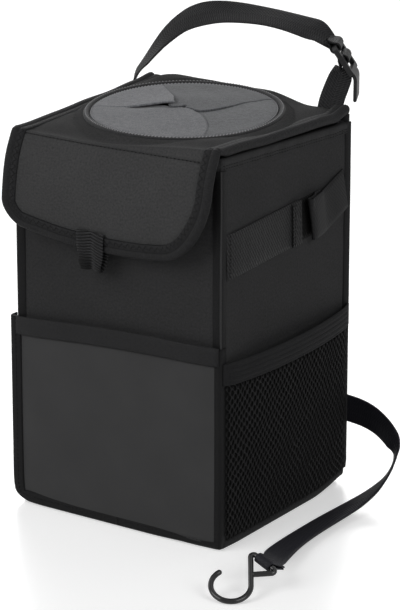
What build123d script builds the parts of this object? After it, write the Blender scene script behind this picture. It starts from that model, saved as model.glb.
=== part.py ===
from build123d import *
import os
from math import cos, degrees, hypot, radians, sin, tan

# A foldable car trash bin of stiffened fabric, in millimetres: +Z up, front towards -Y,
# origin on the floor under the middle of the base.

# Body
body_width = 166.0
body_depth = 158.0
rim_height = 262.0
fabric = 1.0
board = 1.8
lining = 0.6
fold_gap = 3.0

# Bias tape along the edges
tape = 0.8
rim_tape_height = 8.0
base_tape_low = 0.4
base_tape_height = 5.5
seam_tape_width = 6.0
corner_radius = 2.0

# Lid with its round push-through opening
lid_ease = 0.4
hinge_ease = 0.3
lid_tape_width = 8.0
opening_radius = 57.0
ring_radius = 67.5
ring_width = 6.5
ring_height = 2.6
petal_thickness = 1.4
petal_ease = 0.3
petal_overlap_deg = 12.0
petal_crown = 2.5
petal_tip_radius = 2.0

# Front flap
crease_ease = 0.4
flap_drop = 68.0
flap_lean = 10.5
flap_bow = 6.5
flap_thickness = 2.0
flap_corner_radius = 30.0
flap_tape_width = 10.0
flap_tape_start = 3.0
pull_width = 23.0
pull_offset = -10.0
pull_hang = 14.0
pull_sewn = 11.0
pull_belly = 3.0

# Closure patches of hook and loop tape
patch_width = 60.0
patch_height = 20.0
patch_thickness = 1.2
patch_rise = 13.0

# Front pocket
pocket_top = 139.5
pocket_slant_deg = 3.0
pocket_band = 12.5
pocket_bulge = 5.5
pocket_fabric = 1.2
pocket_edge_width = 8.0
pocket_edge_thickness = 1.6

# Mesh side pockets
mesh_top = 127.0
mesh_elastic = 14.0
mesh_bulge = 9.0
mesh_thickness = 0.8
elastic_thickness = 1.6
mesh_side_gap = 2.0
mesh_columns = 11
mesh_rows = 10
mesh_gap_width = 7.5
mesh_gap_height = 8.0

# Side bands of wide webbing, each with a standing loop
band_width = 30.0
band_drop = 54.5
band_tilt_deg = 2.5
band_end_gap = 1.6
band_fold_end = 16.0
band_fold = 13.0
band_thickness = 1.4
loop_rise = 9.5
loop_front = 18.0
loop_back = 40.0
loop_foot = 17.0
loop_nose = 4.6
loop_brow = 8.0
loop_heel = 6.0

# Narrow webbing: hanging strap, its anchor and the strap of the hook
webbing_width = 20.0
webbing = 1.4
stitch_ease = 0.3
loop_eye_share = 0.55
strap_inset = 17.0
strap_sewn_drop = 34.0
strap_tail = 9.0
strap_run_in = 4.0
arch_back = 14.0
arch_rise = 55.0
anchor_inset = 18.0
anchor_sewn_drop = 36.0
anchor_tail = 9.0

# Ladder slider between the anchor and the hanging strap
slider_inset = 17.6
slider_back = 19.0
slider_lift = 33.0
slider_slope = (0.6, -0.8)
slider_turn_deg = 26.8
slider_width = 28.0
slider_bar = 3.5
slider_slot = 6.5
slider_thickness = 3.5
slider_lip = 19.0
slider_lip_deg = 34.0

# Wire hook, resting on the floor on its bend
wire = 3.7
wire_ease = 0.3
hook_side_gap = 53.8
hook_front_gap = 68.0
hook_turn_deg = 34.2
hook_pitch_deg = 28.7
hook_bend = 13.0
hook_curl_deg = 235.0
hook_shank = 28.0
eye_width = 25.0
eye_lean_deg = 45.0
eye_angle_deg = 50.0
eye_bend = 2.0
hook_strap_end = 12.0
hook_strap_height = 54.0
hook_loop_tail = 14.0

# Faces that the layers share
half_x = body_width / 2
half_y = body_depth / 2
wall_x = half_x - tape
wall_y = half_y - tape
inner_x = wall_x - fabric
inner_y = wall_y - fabric
liner_x = inner_x - board
liner_y = inner_y - board
clear_x = liner_x - lining
clear_y = liner_y - lining
wall_top = rim_height - tape
base_board_top = fabric + board

lid_low = rim_height + lid_ease
lid_lining_low = lid_low + tape
lid_board_low = lid_lining_low + lining
lid_panel_low = lid_board_low + board
lid_top = lid_panel_low + fabric
lid_back = inner_y - hinge_ease
flap_low = lid_top - flap_drop

pieces = {}


def block(x0, x1, y0, y1, z0, z1):
    """A box between two corners."""
    middle = Pos((x0 + x1) / 2, (y0 + y1) / 2, (z0 + z1) / 2)
    return middle * Box(x1 - x0, y1 - y0, z1 - z0)


def mirrored(part):
    """The same piece on the other side of the bin."""
    return mirror(part, about=Plane.YZ)


def round_outer_corners(part):
    """Rounds the upright edges that lie on the outer corners of the body."""
    corners = [
        edge
        for edge in part.edges().filter_by(Axis.Z)
        if abs(abs(edge.center().X) - half_x) < 0.01 and abs(abs(edge.center().Y) - half_y) < 0.01
    ]
    return fillet(corners, corner_radius)


def strip(line, thickness):
    """A face of even thickness centred on an open line."""
    return make_face(line.offset_2d(thickness / 2, side=Side.BOTH).edges())


def rectangle_at(middle, across, normal, width, thickness):
    """A rectangular cross-section of a strap."""
    reach = across * (width / 2)
    rise = normal * (thickness / 2)
    corners = [middle + reach + rise, middle - reach + rise, middle - reach - rise, middle + reach - rise]
    return make_face(Polyline(*corners, close=True))


def strap_path(route):
    """The smooth line that a strap follows: one arc of a parabola about each inner point."""
    points = [Vector(*point) for point in route]
    last = len(points) - 1
    arcs = []
    for i in range(1, last):
        start = points[0] if i == 1 else (points[i - 1] + points[i]) / 2
        end = points[last] if i == last - 1 else (points[i] + points[i + 1]) / 2
        arcs.append(Bezier(start, points[i], end))
    return arcs


def blended(values, i, share):
    """The value at a share of arc i, blended as the strap's points are."""
    last = len(values) - 1
    start = values[0] if i == 1 else (values[i - 1] + values[i]) / 2
    end = values[last] if i == last - 1 else (values[i] + values[i + 1]) / 2
    return start * (1 - share) ** 2 + values[i] * (2 * share * (1 - share)) + end * share**2


def strap(route, sides, widths, thickness, stations=3):
    """A flat strap that turns about its line: sides gives the way its width points at each point."""
    sides = [Vector(*side) for side in sides]
    sections = []
    arcs = strap_path(route)
    for i, arc in enumerate(arcs, start=1):
        count = stations + 1 if i == len(arcs) else stations
        for k in range(count):
            share = k / stations
            middle = arc.position_at(share, position_mode=PositionMode.PARAMETER)
            along = arc.tangent_at(share, position_mode=PositionMode.PARAMETER)
            side = blended(sides, i, share)
            side = (side - along * side.dot(along)).normalized()
            width = blended(widths, i, share)
            sections.append(rectangle_at(middle, side, along.cross(side), width, thickness))
    return loft(sections, ruled=True)


# Fabric walls and base
pieces["base_panel"] = block(-wall_x, wall_x, -wall_y, wall_y, 0, fabric)
pieces["front_wall"] = block(-wall_x, wall_x, -wall_y, -inner_y, fabric, wall_top)
pieces["back_wall"] = block(-wall_x, wall_x, inner_y, wall_y, fabric, lid_top)
pieces["right_wall"] = block(inner_x, wall_x, -inner_y, inner_y, fabric, wall_top)
pieces["left_wall"] = mirrored(pieces["right_wall"])

# Stiffening boards behind the fabric, apart at the corners so that the bin folds
board_low = base_board_top + fold_gap
board_x = inner_x - fold_gap
board_y = inner_y - fold_gap
pieces["base_board"] = block(-board_x, board_x, -board_y, board_y, fabric, base_board_top)
pieces["front_board"] = block(-board_x, board_x, -inner_y, -liner_y, board_low, wall_top)
pieces["back_board"] = block(-board_x, board_x, liner_y, inner_y, board_low, wall_top)
pieces["right_board"] = block(liner_x, inner_x, -board_y, board_y, board_low, wall_top)
pieces["left_board"] = mirrored(pieces["right_board"])

# Waterproof lining, one open bag inside the boards
liner_low = base_board_top + lining
liner = block(-liner_x, liner_x, -liner_y, liner_y, base_board_top, wall_top)
pieces["liner"] = liner - block(-clear_x, clear_x, -clear_y, clear_y, liner_low, wall_top)

# Tape over the rim at the front and sides, round the base and down the four seams
rim_low = rim_height - rim_tape_height
rim = block(-half_x, half_x, -half_y, clear_y, rim_low, rim_height)
rim -= block(-clear_x + tape, clear_x - tape, -clear_y + tape, clear_y, rim_low, rim_height)
held = block(-wall_x, wall_x, -wall_y, clear_y, rim_low, wall_top)
held -= block(-clear_x, clear_x, -clear_y, clear_y, rim_low, wall_top)
pieces["rim_binding"] = round_outer_corners(rim - held)

base_tape = block(-half_x, half_x, -half_y, half_y, base_tape_low, base_tape_height)
base_tape -= block(-wall_x, wall_x, -wall_y, wall_y, 0, base_tape_height)
pieces["base_binding"] = round_outer_corners(base_tape)

seam_x = half_x - seam_tape_width
seam_y = half_y - seam_tape_width
for end, y0, y1 in (("front", -half_y, -seam_y), ("back", seam_y, half_y)):
    seam = block(seam_x, half_x, y0, y1, base_tape_height, rim_low)
    seam -= block(seam_x, wall_x, -wall_y, wall_y, base_tape_height, rim_low)
    pieces[f"{end}_right_seam_binding"] = round_outer_corners(seam)
    pieces[f"{end}_left_seam_binding"] = mirrored(pieces[f"{end}_right_seam_binding"])


def pocket_section(half_span, height, rise, bulge, thickness):
    """The plan of a pocket wall that bows away from a flat wall, standing on y = 0 towards -Y."""
    left, right = (-half_span, 0, height - rise), (half_span, 0, height + rise)
    middle = (0, -bulge, height)
    out = Vector(0, -thickness, 0)
    inner = ThreePointArc(left, middle, right)
    outer = ThreePointArc(Vector(*left) + out, Vector(*middle) + out, Vector(*right) + out)
    ends = [Line(inner @ 0, outer @ 0), Line(inner @ 1, outer @ 1)]
    return make_face([inner.edge(), outer.edge(), ends[0].edge(), ends[1].edge()])


def pocket_wall(half_span, low, high, rises, bulges, thickness):
    """A pocket wall that widens from its lower edge to its upper edge."""
    foot = pocket_section(half_span, low, rises[0], bulges[0], thickness)
    brim = pocket_section(half_span, high, rises[1], bulges[1], thickness)
    return loft([foot, brim], ruled=True)


# Front pocket: a bowed panel with a band along its slanting top and tape down its sides
pocket_half = half_x - pocket_edge_width
pocket_rise = pocket_half * tan(radians(pocket_slant_deg))
pocket_low = base_tape_height
panel_top = pocket_top - pocket_band
foot_bulge = 0.1 * pocket_bulge
panel_share = (panel_top - pocket_low) / (pocket_top - pocket_low)
panel_bulge = foot_bulge + (pocket_bulge - foot_bulge) * panel_share
on_front = Pos(0, -half_y, 0)
front_panel = pocket_wall(
    pocket_half, pocket_low, panel_top, (0, pocket_rise), (foot_bulge, panel_bulge), pocket_fabric
)
pieces["front_pocket"] = on_front * front_panel
band_rises = (pocket_rise, pocket_rise)
band_bulges = (panel_bulge, pocket_bulge)
front_band = pocket_wall(pocket_half, panel_top, pocket_top, band_rises, band_bulges, pocket_edge_thickness)
pieces["front_pocket_band"] = on_front * front_band
edge_front = -half_y - pocket_edge_thickness
for name, x0, x1, top in (
    ("front_pocket_left_binding", -half_x, -pocket_half, pocket_top - pocket_rise),
    ("front_pocket_right_binding", pocket_half, half_x, pocket_top + pocket_rise),
):
    pieces[name] = block(x0, x1, edge_front, -half_y, base_tape_height, top)

# Mesh side pockets: netting with staggered gaps under a ribbed elastic band
mesh_half = half_y - mesh_side_gap
mesh_low = base_tape_height
mesh_high = mesh_top - mesh_elastic
mesh_foot_bulge = 0.1 * mesh_bulge
mesh_share = (mesh_high - mesh_low) / (mesh_top - mesh_low)
mesh_high_bulge = mesh_foot_bulge + (mesh_bulge - mesh_foot_bulge) * mesh_share
netting = pocket_wall(
    mesh_half, mesh_low, mesh_high, (0, 0), (mesh_foot_bulge, mesh_high_bulge), mesh_thickness
)
column_pitch = 2 * mesh_half / (mesh_columns + 1)
row_pitch = (mesh_high - mesh_low) / (mesh_rows + 1)
gap_reach = mesh_bulge + 2 * elastic_thickness
gaps = []
for row in range(mesh_rows):
    columns = mesh_columns - row % 2
    for column in range(columns):
        x = (column - (columns - 1) / 2) * column_pitch
        z = mesh_low + (row + 1) * row_pitch
        w, h = mesh_gap_width / 2, mesh_gap_height / 2
        diamond = make_face(Polyline((x - w, 0, z), (x, 0, z + h), (x + w, 0, z), (x, 0, z - h), close=True))
        gaps.append(extrude(diamond, amount=gap_reach, dir=(0, -1, 0)))
netting = netting - gaps
elastic = pocket_wall(
    mesh_half, mesh_high, mesh_top, (0, 0), (mesh_high_bulge, mesh_bulge), elastic_thickness
)
on_right = Pos(half_x, 0, 0) * Rot(0, 0, 90)
pieces["right_mesh_pocket"] = on_right * netting
pieces["left_mesh_pocket"] = mirrored(pieces["right_mesh_pocket"])
pieces["right_pocket_elastic"] = on_right * elastic
pieces["left_pocket_elastic"] = mirrored(pieces["right_pocket_elastic"])

# Side bands: a folded front end, and a rear end that doubles back into a standing loop
band_end = seam_y - band_end_gap
band_middle = rim_height - band_drop
band_t = band_thickness / 2
band_plane = Plane(origin=(wall_x, 0, band_middle), x_dir=(0, 1, 0), z_dir=(0, 0, 1))
fold_start = band_fold_end - band_fold
front_profile = Polyline(
    (-band_end, 0),
    (-band_end, -band_thickness),
    (fold_start, -band_thickness),
    (fold_start, -2 * band_thickness),
    (band_fold_end, -2 * band_thickness),
    (band_fold_end, 0),
    close=True,
)
loop_line = FilletPolyline(
    (loop_back, -band_t),
    (loop_back - loop_foot, -band_t),
    (loop_front, -loop_nose),
    (loop_front + band_thickness, -loop_rise),
    (loop_front + loop_brow, -loop_rise),
    (loop_back + band_t, -3 * band_t - stitch_ease),
    (loop_back + loop_heel, -band_t),
    (band_end, -band_t),
    radius=(2.5, 2.2, 2.0, 4.0, 3.0, 3.0),
)
tilt = Pos(0, 0, band_middle) * Rot(band_tilt_deg, 0, 0) * Pos(0, 0, -band_middle)
band_faces = {"band_front": make_face(front_profile), "band_loop": strip(loop_line, band_thickness)}
for name, face in band_faces.items():
    ribbon = extrude(band_plane * face, amount=band_width / 2, both=True)
    pieces[f"right_{name}"] = tilt * ribbon
    pieces[f"left_{name}"] = mirrored(pieces[f"right_{name}"])

# Soft half of the closure, sewn to the front wall under the flap
patch_low = flap_low + patch_rise
patch_high = patch_low + patch_height
pieces["closure_loop_patch"] = block(
    -patch_width / 2, patch_width / 2, -wall_y - patch_thickness, -wall_y, patch_low, patch_high
)

# Lid: fabric over a board over lining, with a round hole, taped along both sides
hole = Pos(0, 0, rim_height) * Cylinder(opening_radius, 20)
for name, low, high in (
    ("lid_panel", lid_panel_low, lid_top),
    ("lid_board", lid_board_low, lid_panel_low),
    ("lid_lining", lid_lining_low, lid_board_low),
):
    pieces[name] = block(-wall_x, wall_x, -half_y, lid_back, low, high) - hole
lid_tape = block(half_x - lid_tape_width, half_x, -half_y, lid_back, lid_low, lid_top + tape)
lid_tape -= block(half_x - lid_tape_width, wall_x, -half_y, lid_back, lid_lining_low, lid_top)
pieces["lid_right_binding"] = lid_tape
pieces["lid_left_binding"] = mirrored(lid_tape)

# Rubber-foam ring and four petals that overlap like a pinwheel
ring_inner = ring_radius - ring_width
ring = Cylinder(ring_radius, ring_height) - Cylinder(ring_inner, ring_height)
pieces["opening_ring"] = Pos(0, 0, lid_top + ring_height / 2) * ring

petal_radius = ring_inner - petal_ease
petal_span = 90 + 2 * petal_overlap_deg
petal_step = petal_thickness + petal_ease
petal_stations = 9


def petal_section(angle_deg, height):
    """A radial cut through a petal: it rises towards the middle of the lid."""
    heading = Vector(cos(radians(angle_deg)), sin(radians(angle_deg)), 0)
    rim_point = heading * petal_radius + Vector(0, 0, height)
    tip_point = heading * petal_tip_radius + Vector(0, 0, height + petal_crown)
    up = Vector(0, 0, petal_thickness)
    return make_face(Polyline(rim_point, tip_point, tip_point + up, rim_point + up, close=True))


for name, middle_deg in (("right", 0), ("back", 90), ("left", 180), ("front", 270)):
    sections = []
    for k in range(petal_stations):
        share = k / (petal_stations - 1)
        height = lid_top + petal_ease + petal_step * share * petal_span / 90
        sections.append(petal_section(middle_deg + (share - 0.5) * petal_span, height))
    pieces[f"{name}_petal"] = loft(sections, ruled=True)

# Flap: a bowed panel below the crease at the front of the lid
crease = Vector(-half_y - crease_ease, lid_top)
flap_end = crease + Vector(-flap_lean, -flap_drop)
chord = flap_end - crease
outward = Vector(chord.Y, -chord.X).normalized()
flap_inner = ThreePointArc(crease, (crease + flap_end) / 2 + outward * flap_bow, flap_end)
flap_middle = Vector(flap_inner.arc_center)
flap_inner_radius = flap_inner.radius
side_plane = Plane.YZ


def flap_sheet(inside, outside):
    """The bowed sheet between two distances outside the flap's inner face, across the whole bin."""
    headings = [(flap_inner @ share - flap_middle).normalized() for share in (0, 0.5, 1)]
    edges = []
    for reach in (inside, outside):
        edges.append(ThreePointArc(*[flap_middle + way * (flap_inner_radius + reach) for way in headings]))
    sides = [Line(edges[0] @ u, edges[1] @ u) for u in (0, 1)]
    face = make_face([edges[0].edge(), edges[1].edge(), sides[0].edge(), sides[1].edge()])
    return extrude(side_plane * face, amount=half_x, both=True)


def flap_outline(inset):
    """The flap's front outline as a deep block, with round lower corners."""
    height = 2 * flap_drop
    low = flap_end.Y + inset
    radius = flap_corner_radius - inset
    shape = RectangleRounded(2 * (wall_x - inset), height, radius)
    front = Plane(origin=(0, -half_y, low + height / 2), x_dir=(1, 0, 0), z_dir=(0, -1, 0))
    return extrude(front * shape, amount=2 * flap_drop, both=True)


pieces["flap_panel"] = flap_sheet(0, flap_thickness) & flap_outline(0)
flap_tape = flap_sheet(-tape, flap_thickness + tape) & flap_outline(-tape)
flap_tape -= flap_sheet(0, flap_thickness) & flap_outline(0)
flap_tape -= flap_outline(flap_tape_width)
flap_tape &= block(-half_x, half_x, -2 * half_y, 0, 0, lid_top - flap_tape_start)
pieces["flap_binding"] = flap_tape


def flap_patch(inside, outside, x0, x1, z0, z1):
    """A piece of the bowed sheet between two heights."""
    return flap_sheet(inside, outside) & block(x0, x1, -2 * half_y, -half_y, z0, z1)


pieces["closure_hook_patch"] = flap_patch(
    -patch_thickness, 0, -patch_width / 2, patch_width / 2, patch_low, patch_high
)

# Pull loop: webbing sewn over the flap's lower tape, round its edge and up behind it
pull_front = flap_thickness + tape + stitch_ease + webbing / 2
pull_back = -tape - stitch_ease - webbing / 2
low_heading = (flap_inner @ 1 - flap_middle).normalized()
sewn_heading = low_heading.rotate(Axis.Z, degrees(-pull_sewn / flap_inner_radius))
below = (flap_inner % 1).normalized()
front_top = flap_middle + sewn_heading * (flap_inner_radius + pull_front)
front_low = flap_middle + low_heading * (flap_inner_radius + pull_front)
back_top = flap_middle + sewn_heading * (flap_inner_radius + pull_back)
back_low = flap_middle + low_heading * (flap_inner_radius + pull_back)
pull_line = FilletPolyline(
    front_top,
    front_low,
    front_low + below * pull_hang + low_heading * pull_belly,
    back_low + below * pull_hang,
    back_low,
    back_top,
    radius=(20.0, 3.2, 3.2, 20.0),
)
pull = extrude(side_plane * strip(pull_line, webbing), amount=pull_width / 2, both=True)
pieces["pull_loop"] = Pos(pull_offset, 0, 0) * pull

# Slider: a ladder of three bars with a lip at its lower end
slider_middle = Vector(half_x - slider_inset, half_y + slider_back, lid_top + slider_lift)
slider_across = Vector(-sin(radians(slider_turn_deg)), cos(radians(slider_turn_deg)), 0)
slider_down = Vector(slider_slope[0], 0, slider_slope[1])
slider_down = (slider_down - slider_across * slider_down.dot(slider_across)).normalized()
slider_out = slider_down.cross(slider_across)
slider_plane = Plane(origin=slider_middle, x_dir=slider_across, z_dir=slider_out)
slider_length = 3 * slider_bar + 2 * slider_slot
slot_width = webbing_width + 1.2
bar_pitch = slider_bar + slider_slot
bar_radius = hypot(slider_bar, slider_thickness) / 2
ladder = RectangleRounded(slider_width, slider_length, 3.0)
for side in (-1, 1):
    ladder -= Pos(0, side * bar_pitch / 2) * RectangleRounded(slot_width, slider_slot, 1.0)
frame = extrude(slider_plane * ladder, amount=slider_thickness / 2, both=True)
lip_start = slider_plane.from_local_coords((0, -slider_length / 2 + 0.5, 0))
lip_bend = Vector(0.2 * slider_lip, 0)
lip_way = Vector(cos(radians(slider_lip_deg)), sin(radians(slider_lip_deg)))
lip_line = FilletPolyline((0, 0), lip_bend, lip_bend + lip_way * (0.8 * slider_lip), radius=6.0)
lip_plane = Plane(origin=lip_start, x_dir=slider_down, z_dir=slider_across)
lip = extrude(lip_plane * strip(lip_line, slider_thickness * 0.7), amount=slider_width * 0.36, both=True)
pieces["strap_slider"] = frame + lip


def strap_loop(plane, bar_radius, tail, width):
    """The end of a strap sewn back on itself round a bar; the tail runs along -X of the plane."""
    inner = Circle(bar_radius + stitch_ease)
    outer = Circle(bar_radius + stitch_ease + webbing)
    neck = Pos(-tail, 0) * Rectangle(2 * webbing, 2 * webbing)
    pocket = Pos(-tail * loop_eye_share, 0) * Rectangle(stitch_ease, stitch_ease)
    shell = make_hull(outer.edges() + neck.edges()) - make_hull(inner.edges() + pocket.edges())
    return extrude(plane * shell, amount=width / 2, both=True)


# Hanging strap: sewn to the left wall, over behind the lid and into the top bar of the slider
top_bar = slider_middle - slider_down * bar_pitch
strap_up = Plane(origin=top_bar, x_dir=slider_down, z_dir=slider_across)
strap_end = top_bar - slider_down * strap_tail
strap_y = half_y - strap_inset
strap_low = rim_height - strap_sewn_drop
wall_skin = -wall_x - webbing / 2
arch_y = half_y + arch_back
arch_left = -half_x - 1.0
strap_route = [
    (wall_skin, strap_y, strap_low),
    (wall_skin, strap_y, strap_low + 8),
    (wall_skin, strap_y, strap_low + 18),
    (wall_skin - 2.2, strap_y, strap_low + 29),
    (-half_x - 4.0, strap_y + 3, lid_top + 4),
    (-half_x - 5.5, half_y, lid_top + 14.5),
]
# Share of the way across and share of the rise, along the arch
arch_shape = [(0.0, 0.46), (0.1, 0.76), (0.22, 0.92), (0.36, 0.99)]
arch_shape += [(0.51, 1.0), (0.65, 0.97), (0.76, 0.93), (0.86, 0.9)]
for way, rise in arch_shape:
    strap_route.append((arch_left + way * (strap_end.X - arch_left), arch_y, lid_top + rise * arch_rise))
strap_route += [tuple(strap_end - slider_down * strap_run_in), tuple(strap_end)]
across = tuple(slider_across)
strap_sides = [(0, 1, 0)] * 5 + [(0, 1, 0.05), (0, 0.97, 0.3), (0, 0.92, 0.4)]
strap_sides += [(0, 0.93, 0.35), (0, 0.97, 0.2)]
strap_sides += [(0, 1, 0.05), (0, 0.99, 0.1), (-0.15, 0.95, 0.25), (-0.3, 0.92, 0.15), across, across]
hanging = strap(strap_route, strap_sides, [webbing_width] * len(strap_route), webbing)
pieces["hanging_strap"] = hanging + strap_loop(strap_up, bar_radius, strap_tail, webbing_width)

# Anchor strap: sewn to the back wall, up to the middle bar of the slider
anchor_x = half_x - anchor_inset
anchor_low = rim_height - anchor_sewn_drop
back_skin = wall_y + webbing / 2
anchor_knee = Vector(anchor_x, half_y + 6.0, lid_top)
anchor_heading = anchor_knee - slider_middle
anchor_heading = (anchor_heading - slider_across * anchor_heading.dot(slider_across)).normalized()
anchor_plane = Plane(origin=slider_middle, x_dir=-anchor_heading, z_dir=slider_across)
anchor_end = slider_middle + anchor_heading * anchor_tail
anchor_route = [
    (anchor_x, back_skin, anchor_low),
    (anchor_x, back_skin, anchor_low + 10),
    (anchor_x, back_skin, anchor_low + 20),
    (anchor_x, back_skin + 1.2, anchor_low + 30),
    tuple(anchor_knee),
    tuple(anchor_end + anchor_heading * 4),
    tuple(anchor_end),
]
anchor_sides = [(1, 0, 0)] * 4 + [(0.9, -0.4, 0), tuple(-slider_across), tuple(-slider_across)]
anchor = strap(anchor_route, anchor_sides, [webbing_width] * len(anchor_route), webbing)
pieces["anchor_strap"] = anchor + strap_loop(anchor_plane, bar_radius, anchor_tail, webbing_width)

# Wire hook: a triangular eye, a shank and a round bend, one wire from tip to tip
turn, pitch = radians(hook_turn_deg), radians(hook_pitch_deg)
hook_foot = Vector(half_x + hook_side_gap, -half_y - hook_front_gap, wire / 2)
hook_right = Vector(cos(turn), sin(turn), 0)
hook_down = Vector(sin(turn) * cos(pitch), -cos(turn) * cos(pitch), -sin(pitch))
hook_plane = Plane(origin=hook_foot, x_dir=hook_right, z_dir=hook_right.cross(hook_down))


def on_bend(angle_deg):
    """A point of the round bend, counted from the shank."""
    angle = radians(angle_deg)
    return Vector(hook_bend * cos(angle), hook_bend * (sin(angle) - 1))


lean = radians(eye_lean_deg)
back = radians(eye_angle_deg - eye_lean_deg)
eye_left = on_bend(0) - Vector(0, hook_shank)
eye_right = eye_left + Vector(cos(lean), sin(lean)) * eye_width
eye_return = eye_width * cos(lean) - wire - wire_ease
return_end = eye_right + Vector(-1, tan(back)) * eye_return
shank_middle = on_bend(0) - Vector(0, hook_shank / 2)
eye_run = FilletPolyline(shank_middle, eye_left, eye_right, return_end, radius=eye_bend)
wire_line = Wire(
    [
        ThreePointArc(on_bend(hook_curl_deg), on_bend(hook_curl_deg / 2), on_bend(0)).edge(),
        Line(on_bend(0), shank_middle).edge(),
    ]
    + list(eye_run.edges())
)
wire_path = hook_plane * wire_line
wire_section = Plane(origin=wire_path @ 0, z_dir=wire_path % 0) * Circle(wire / 2)
pieces["hook"] = sweep(wire_section, path=wire_path, transition=Transition.RIGHT)

# Strap of the hook: sewn to the back wall, round the corner, along the floor and into the eye
eye_side = (hook_right * cos(lean) + hook_down * sin(lean)).normalized()
eye_middle = hook_plane.from_local_coords((eye_left + eye_right) / 2)
tail_way = Vector(0, 0.94, -0.34)
tail_way = (tail_way - eye_side * tail_way.dot(eye_side)).normalized()
hook_loop_plane = Plane(origin=eye_middle, x_dir=-tail_way, z_dir=eye_side)
hook_end = eye_middle + tail_way * hook_loop_tail
hook_route = [
    (half_x - 41, back_skin, hook_strap_height),
    (half_x - 27, back_skin, hook_strap_height),
    (half_x - 11, back_skin + 0.8, hook_strap_height),
    (half_x + 5, half_y + 1.5, hook_strap_height - 0.5),
    (half_x + 21, half_y + 0.5, hook_strap_height - 3),
    (half_x + 36, half_y - 5, hook_strap_height - 10.5),
    (half_x + 45.5, half_y - 17, hook_strap_height - 23),
    (half_x + 45.5, half_y - 33, hook_strap_height - 37.5),
    (half_x + 40, half_y - 53, 6.0),
    (half_x + 35.5, half_y - 77, 1.4),
    (half_x + 35, -half_y + 57, 1.2),
    (half_x + 38, -half_y + 34, 2.8),
    (half_x + 45, -half_y + 10, 6.0),
    tuple(hook_end + tail_way * 9),
    tuple(hook_end),
]
hook_sides = [(0, 0, 1)] * 4 + [(0.05, 0.05, 1), (0.3, 0.2, 0.9), (0.7, 0.3, 0.65), (0.9, 0.25, 0.3)]
hook_sides += [(1, 0.15, 0.08), (1, 0.05, 0), (1, 0, 0), (1, 0, -0.06), (0.97, 0, -0.15)]
hook_sides += [tuple(eye_side), tuple(eye_side)]
hook_widths = [webbing_width] * (len(hook_route) - 2) + [0.8 * webbing_width, hook_strap_end]
hook_ribbon = strap(hook_route, hook_sides, hook_widths, webbing)
pieces["hook_strap"] = hook_ribbon + strap_loop(hook_loop_plane, wire / 2, hook_loop_tail, hook_strap_end)

os.makedirs("parts", exist_ok=True)
for name, piece in pieces.items():
    export_step(piece, f"parts/{name}.step")
print(len(pieces), "pieces")
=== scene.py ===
"""The look of a foldable fabric car bin, built round its solids. Lengths are in mm until a mesh is made."""

import bpy
import numpy as np
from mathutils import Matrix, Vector


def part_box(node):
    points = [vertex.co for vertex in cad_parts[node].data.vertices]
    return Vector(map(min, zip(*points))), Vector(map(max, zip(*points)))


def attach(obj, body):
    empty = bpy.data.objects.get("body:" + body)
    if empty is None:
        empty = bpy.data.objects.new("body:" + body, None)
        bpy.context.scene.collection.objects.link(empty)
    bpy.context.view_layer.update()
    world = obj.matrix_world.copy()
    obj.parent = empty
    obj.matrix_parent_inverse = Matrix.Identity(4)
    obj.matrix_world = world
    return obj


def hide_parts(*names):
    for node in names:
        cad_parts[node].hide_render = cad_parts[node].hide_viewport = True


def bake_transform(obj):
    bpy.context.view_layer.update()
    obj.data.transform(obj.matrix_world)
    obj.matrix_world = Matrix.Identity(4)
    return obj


MM = 0.001
X, Y, Z = range(3)
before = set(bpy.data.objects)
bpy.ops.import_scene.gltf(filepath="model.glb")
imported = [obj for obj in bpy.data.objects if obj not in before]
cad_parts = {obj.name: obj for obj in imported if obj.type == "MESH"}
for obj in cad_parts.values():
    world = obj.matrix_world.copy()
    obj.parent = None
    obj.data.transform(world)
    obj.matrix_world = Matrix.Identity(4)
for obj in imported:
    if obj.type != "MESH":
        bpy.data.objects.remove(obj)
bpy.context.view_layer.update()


def low_of(node, axis):
    """Where a solid begins along an axis."""
    return np.array(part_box(node)[0])[axis] / MM


def high_of(node, axis):
    """Where a solid ends along an axis."""
    return np.array(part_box(node)[1])[axis] / MM


def middle_of(node, axis):
    """Where a solid has its middle along an axis."""
    return (low_of(node, axis) + high_of(node, axis)) / 2


# Faces read from the frame
half_x = high_of("rim_binding", X)
half_y = -low_of("rim_binding", Y)
rim_top = high_of("rim_binding", Z)
rim_low = low_of("rim_binding", Z)
lid_top = high_of("lid_panel", Z)
lid_back = high_of("lid_panel", Y)
lid_under = low_of("lid_right_binding", Z)
wall_x = high_of("right_wall", X)
wall_y = high_of("back_wall", Y)
wall_top = high_of("right_wall", Z)
liner_skin = 0.6
clear_x = high_of("liner", X) - liner_skin
clear_y = high_of("liner", Y) - liner_skin
liner_floor = low_of("liner", Z) + liner_skin
base_tape_top = high_of("base_binding", Z)
pocket_half = high_of("front_pocket", X)
net_lift = 5.0
mesh_half = high_of("right_mesh_pocket", Y)
mesh_high = high_of("right_mesh_pocket", Z) + net_lift
elastic_top = high_of("right_pocket_elastic", Z) + net_lift
ring_radius = high_of("opening_ring", X)

# Thickness of each cloth
fabric = 1.0
base_fabric = 0.6
bag_film = 0.4
floor_film = 0.3
pocket_fabric = 0.8
pocket_tape = 1.5
net_fabric = 0.3
elastic_fabric = 1.6
petal_foam = 1.4
closure_pile = 1.2
closure_hooks = 1.0
webbing = 1.4

# Soft sizes
webbing_width = 20.0
selvedge = 1.2
band_width = 30.0
lid_puff = 5.4
lid_puff_run = 22.0
corner_rise = 10.0
foot_round = 1.0
heel_rise = 5.0
back_lift = 1.4
back_brow = 6.0

# Flap arc, as sewn: from the crease down to its lower edge
flap_lean = 10.5
flap_bow = 6.5
flap_thickness = 2.0
flap_left_corner = (16.0, 16.0)
flap_right_corner = (36.0, 44.0)
crease = np.array([-half_y - 0.4, lid_top])
flap_end = np.array([crease[0] - flap_lean, low_of("flap_binding", Z) + 0.8])

upright = np.array([0.0, 0.0, 1.0])
forwards = np.array([0.0, -1.0, 0.0])
full_turn = 2 * np.pi


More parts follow.
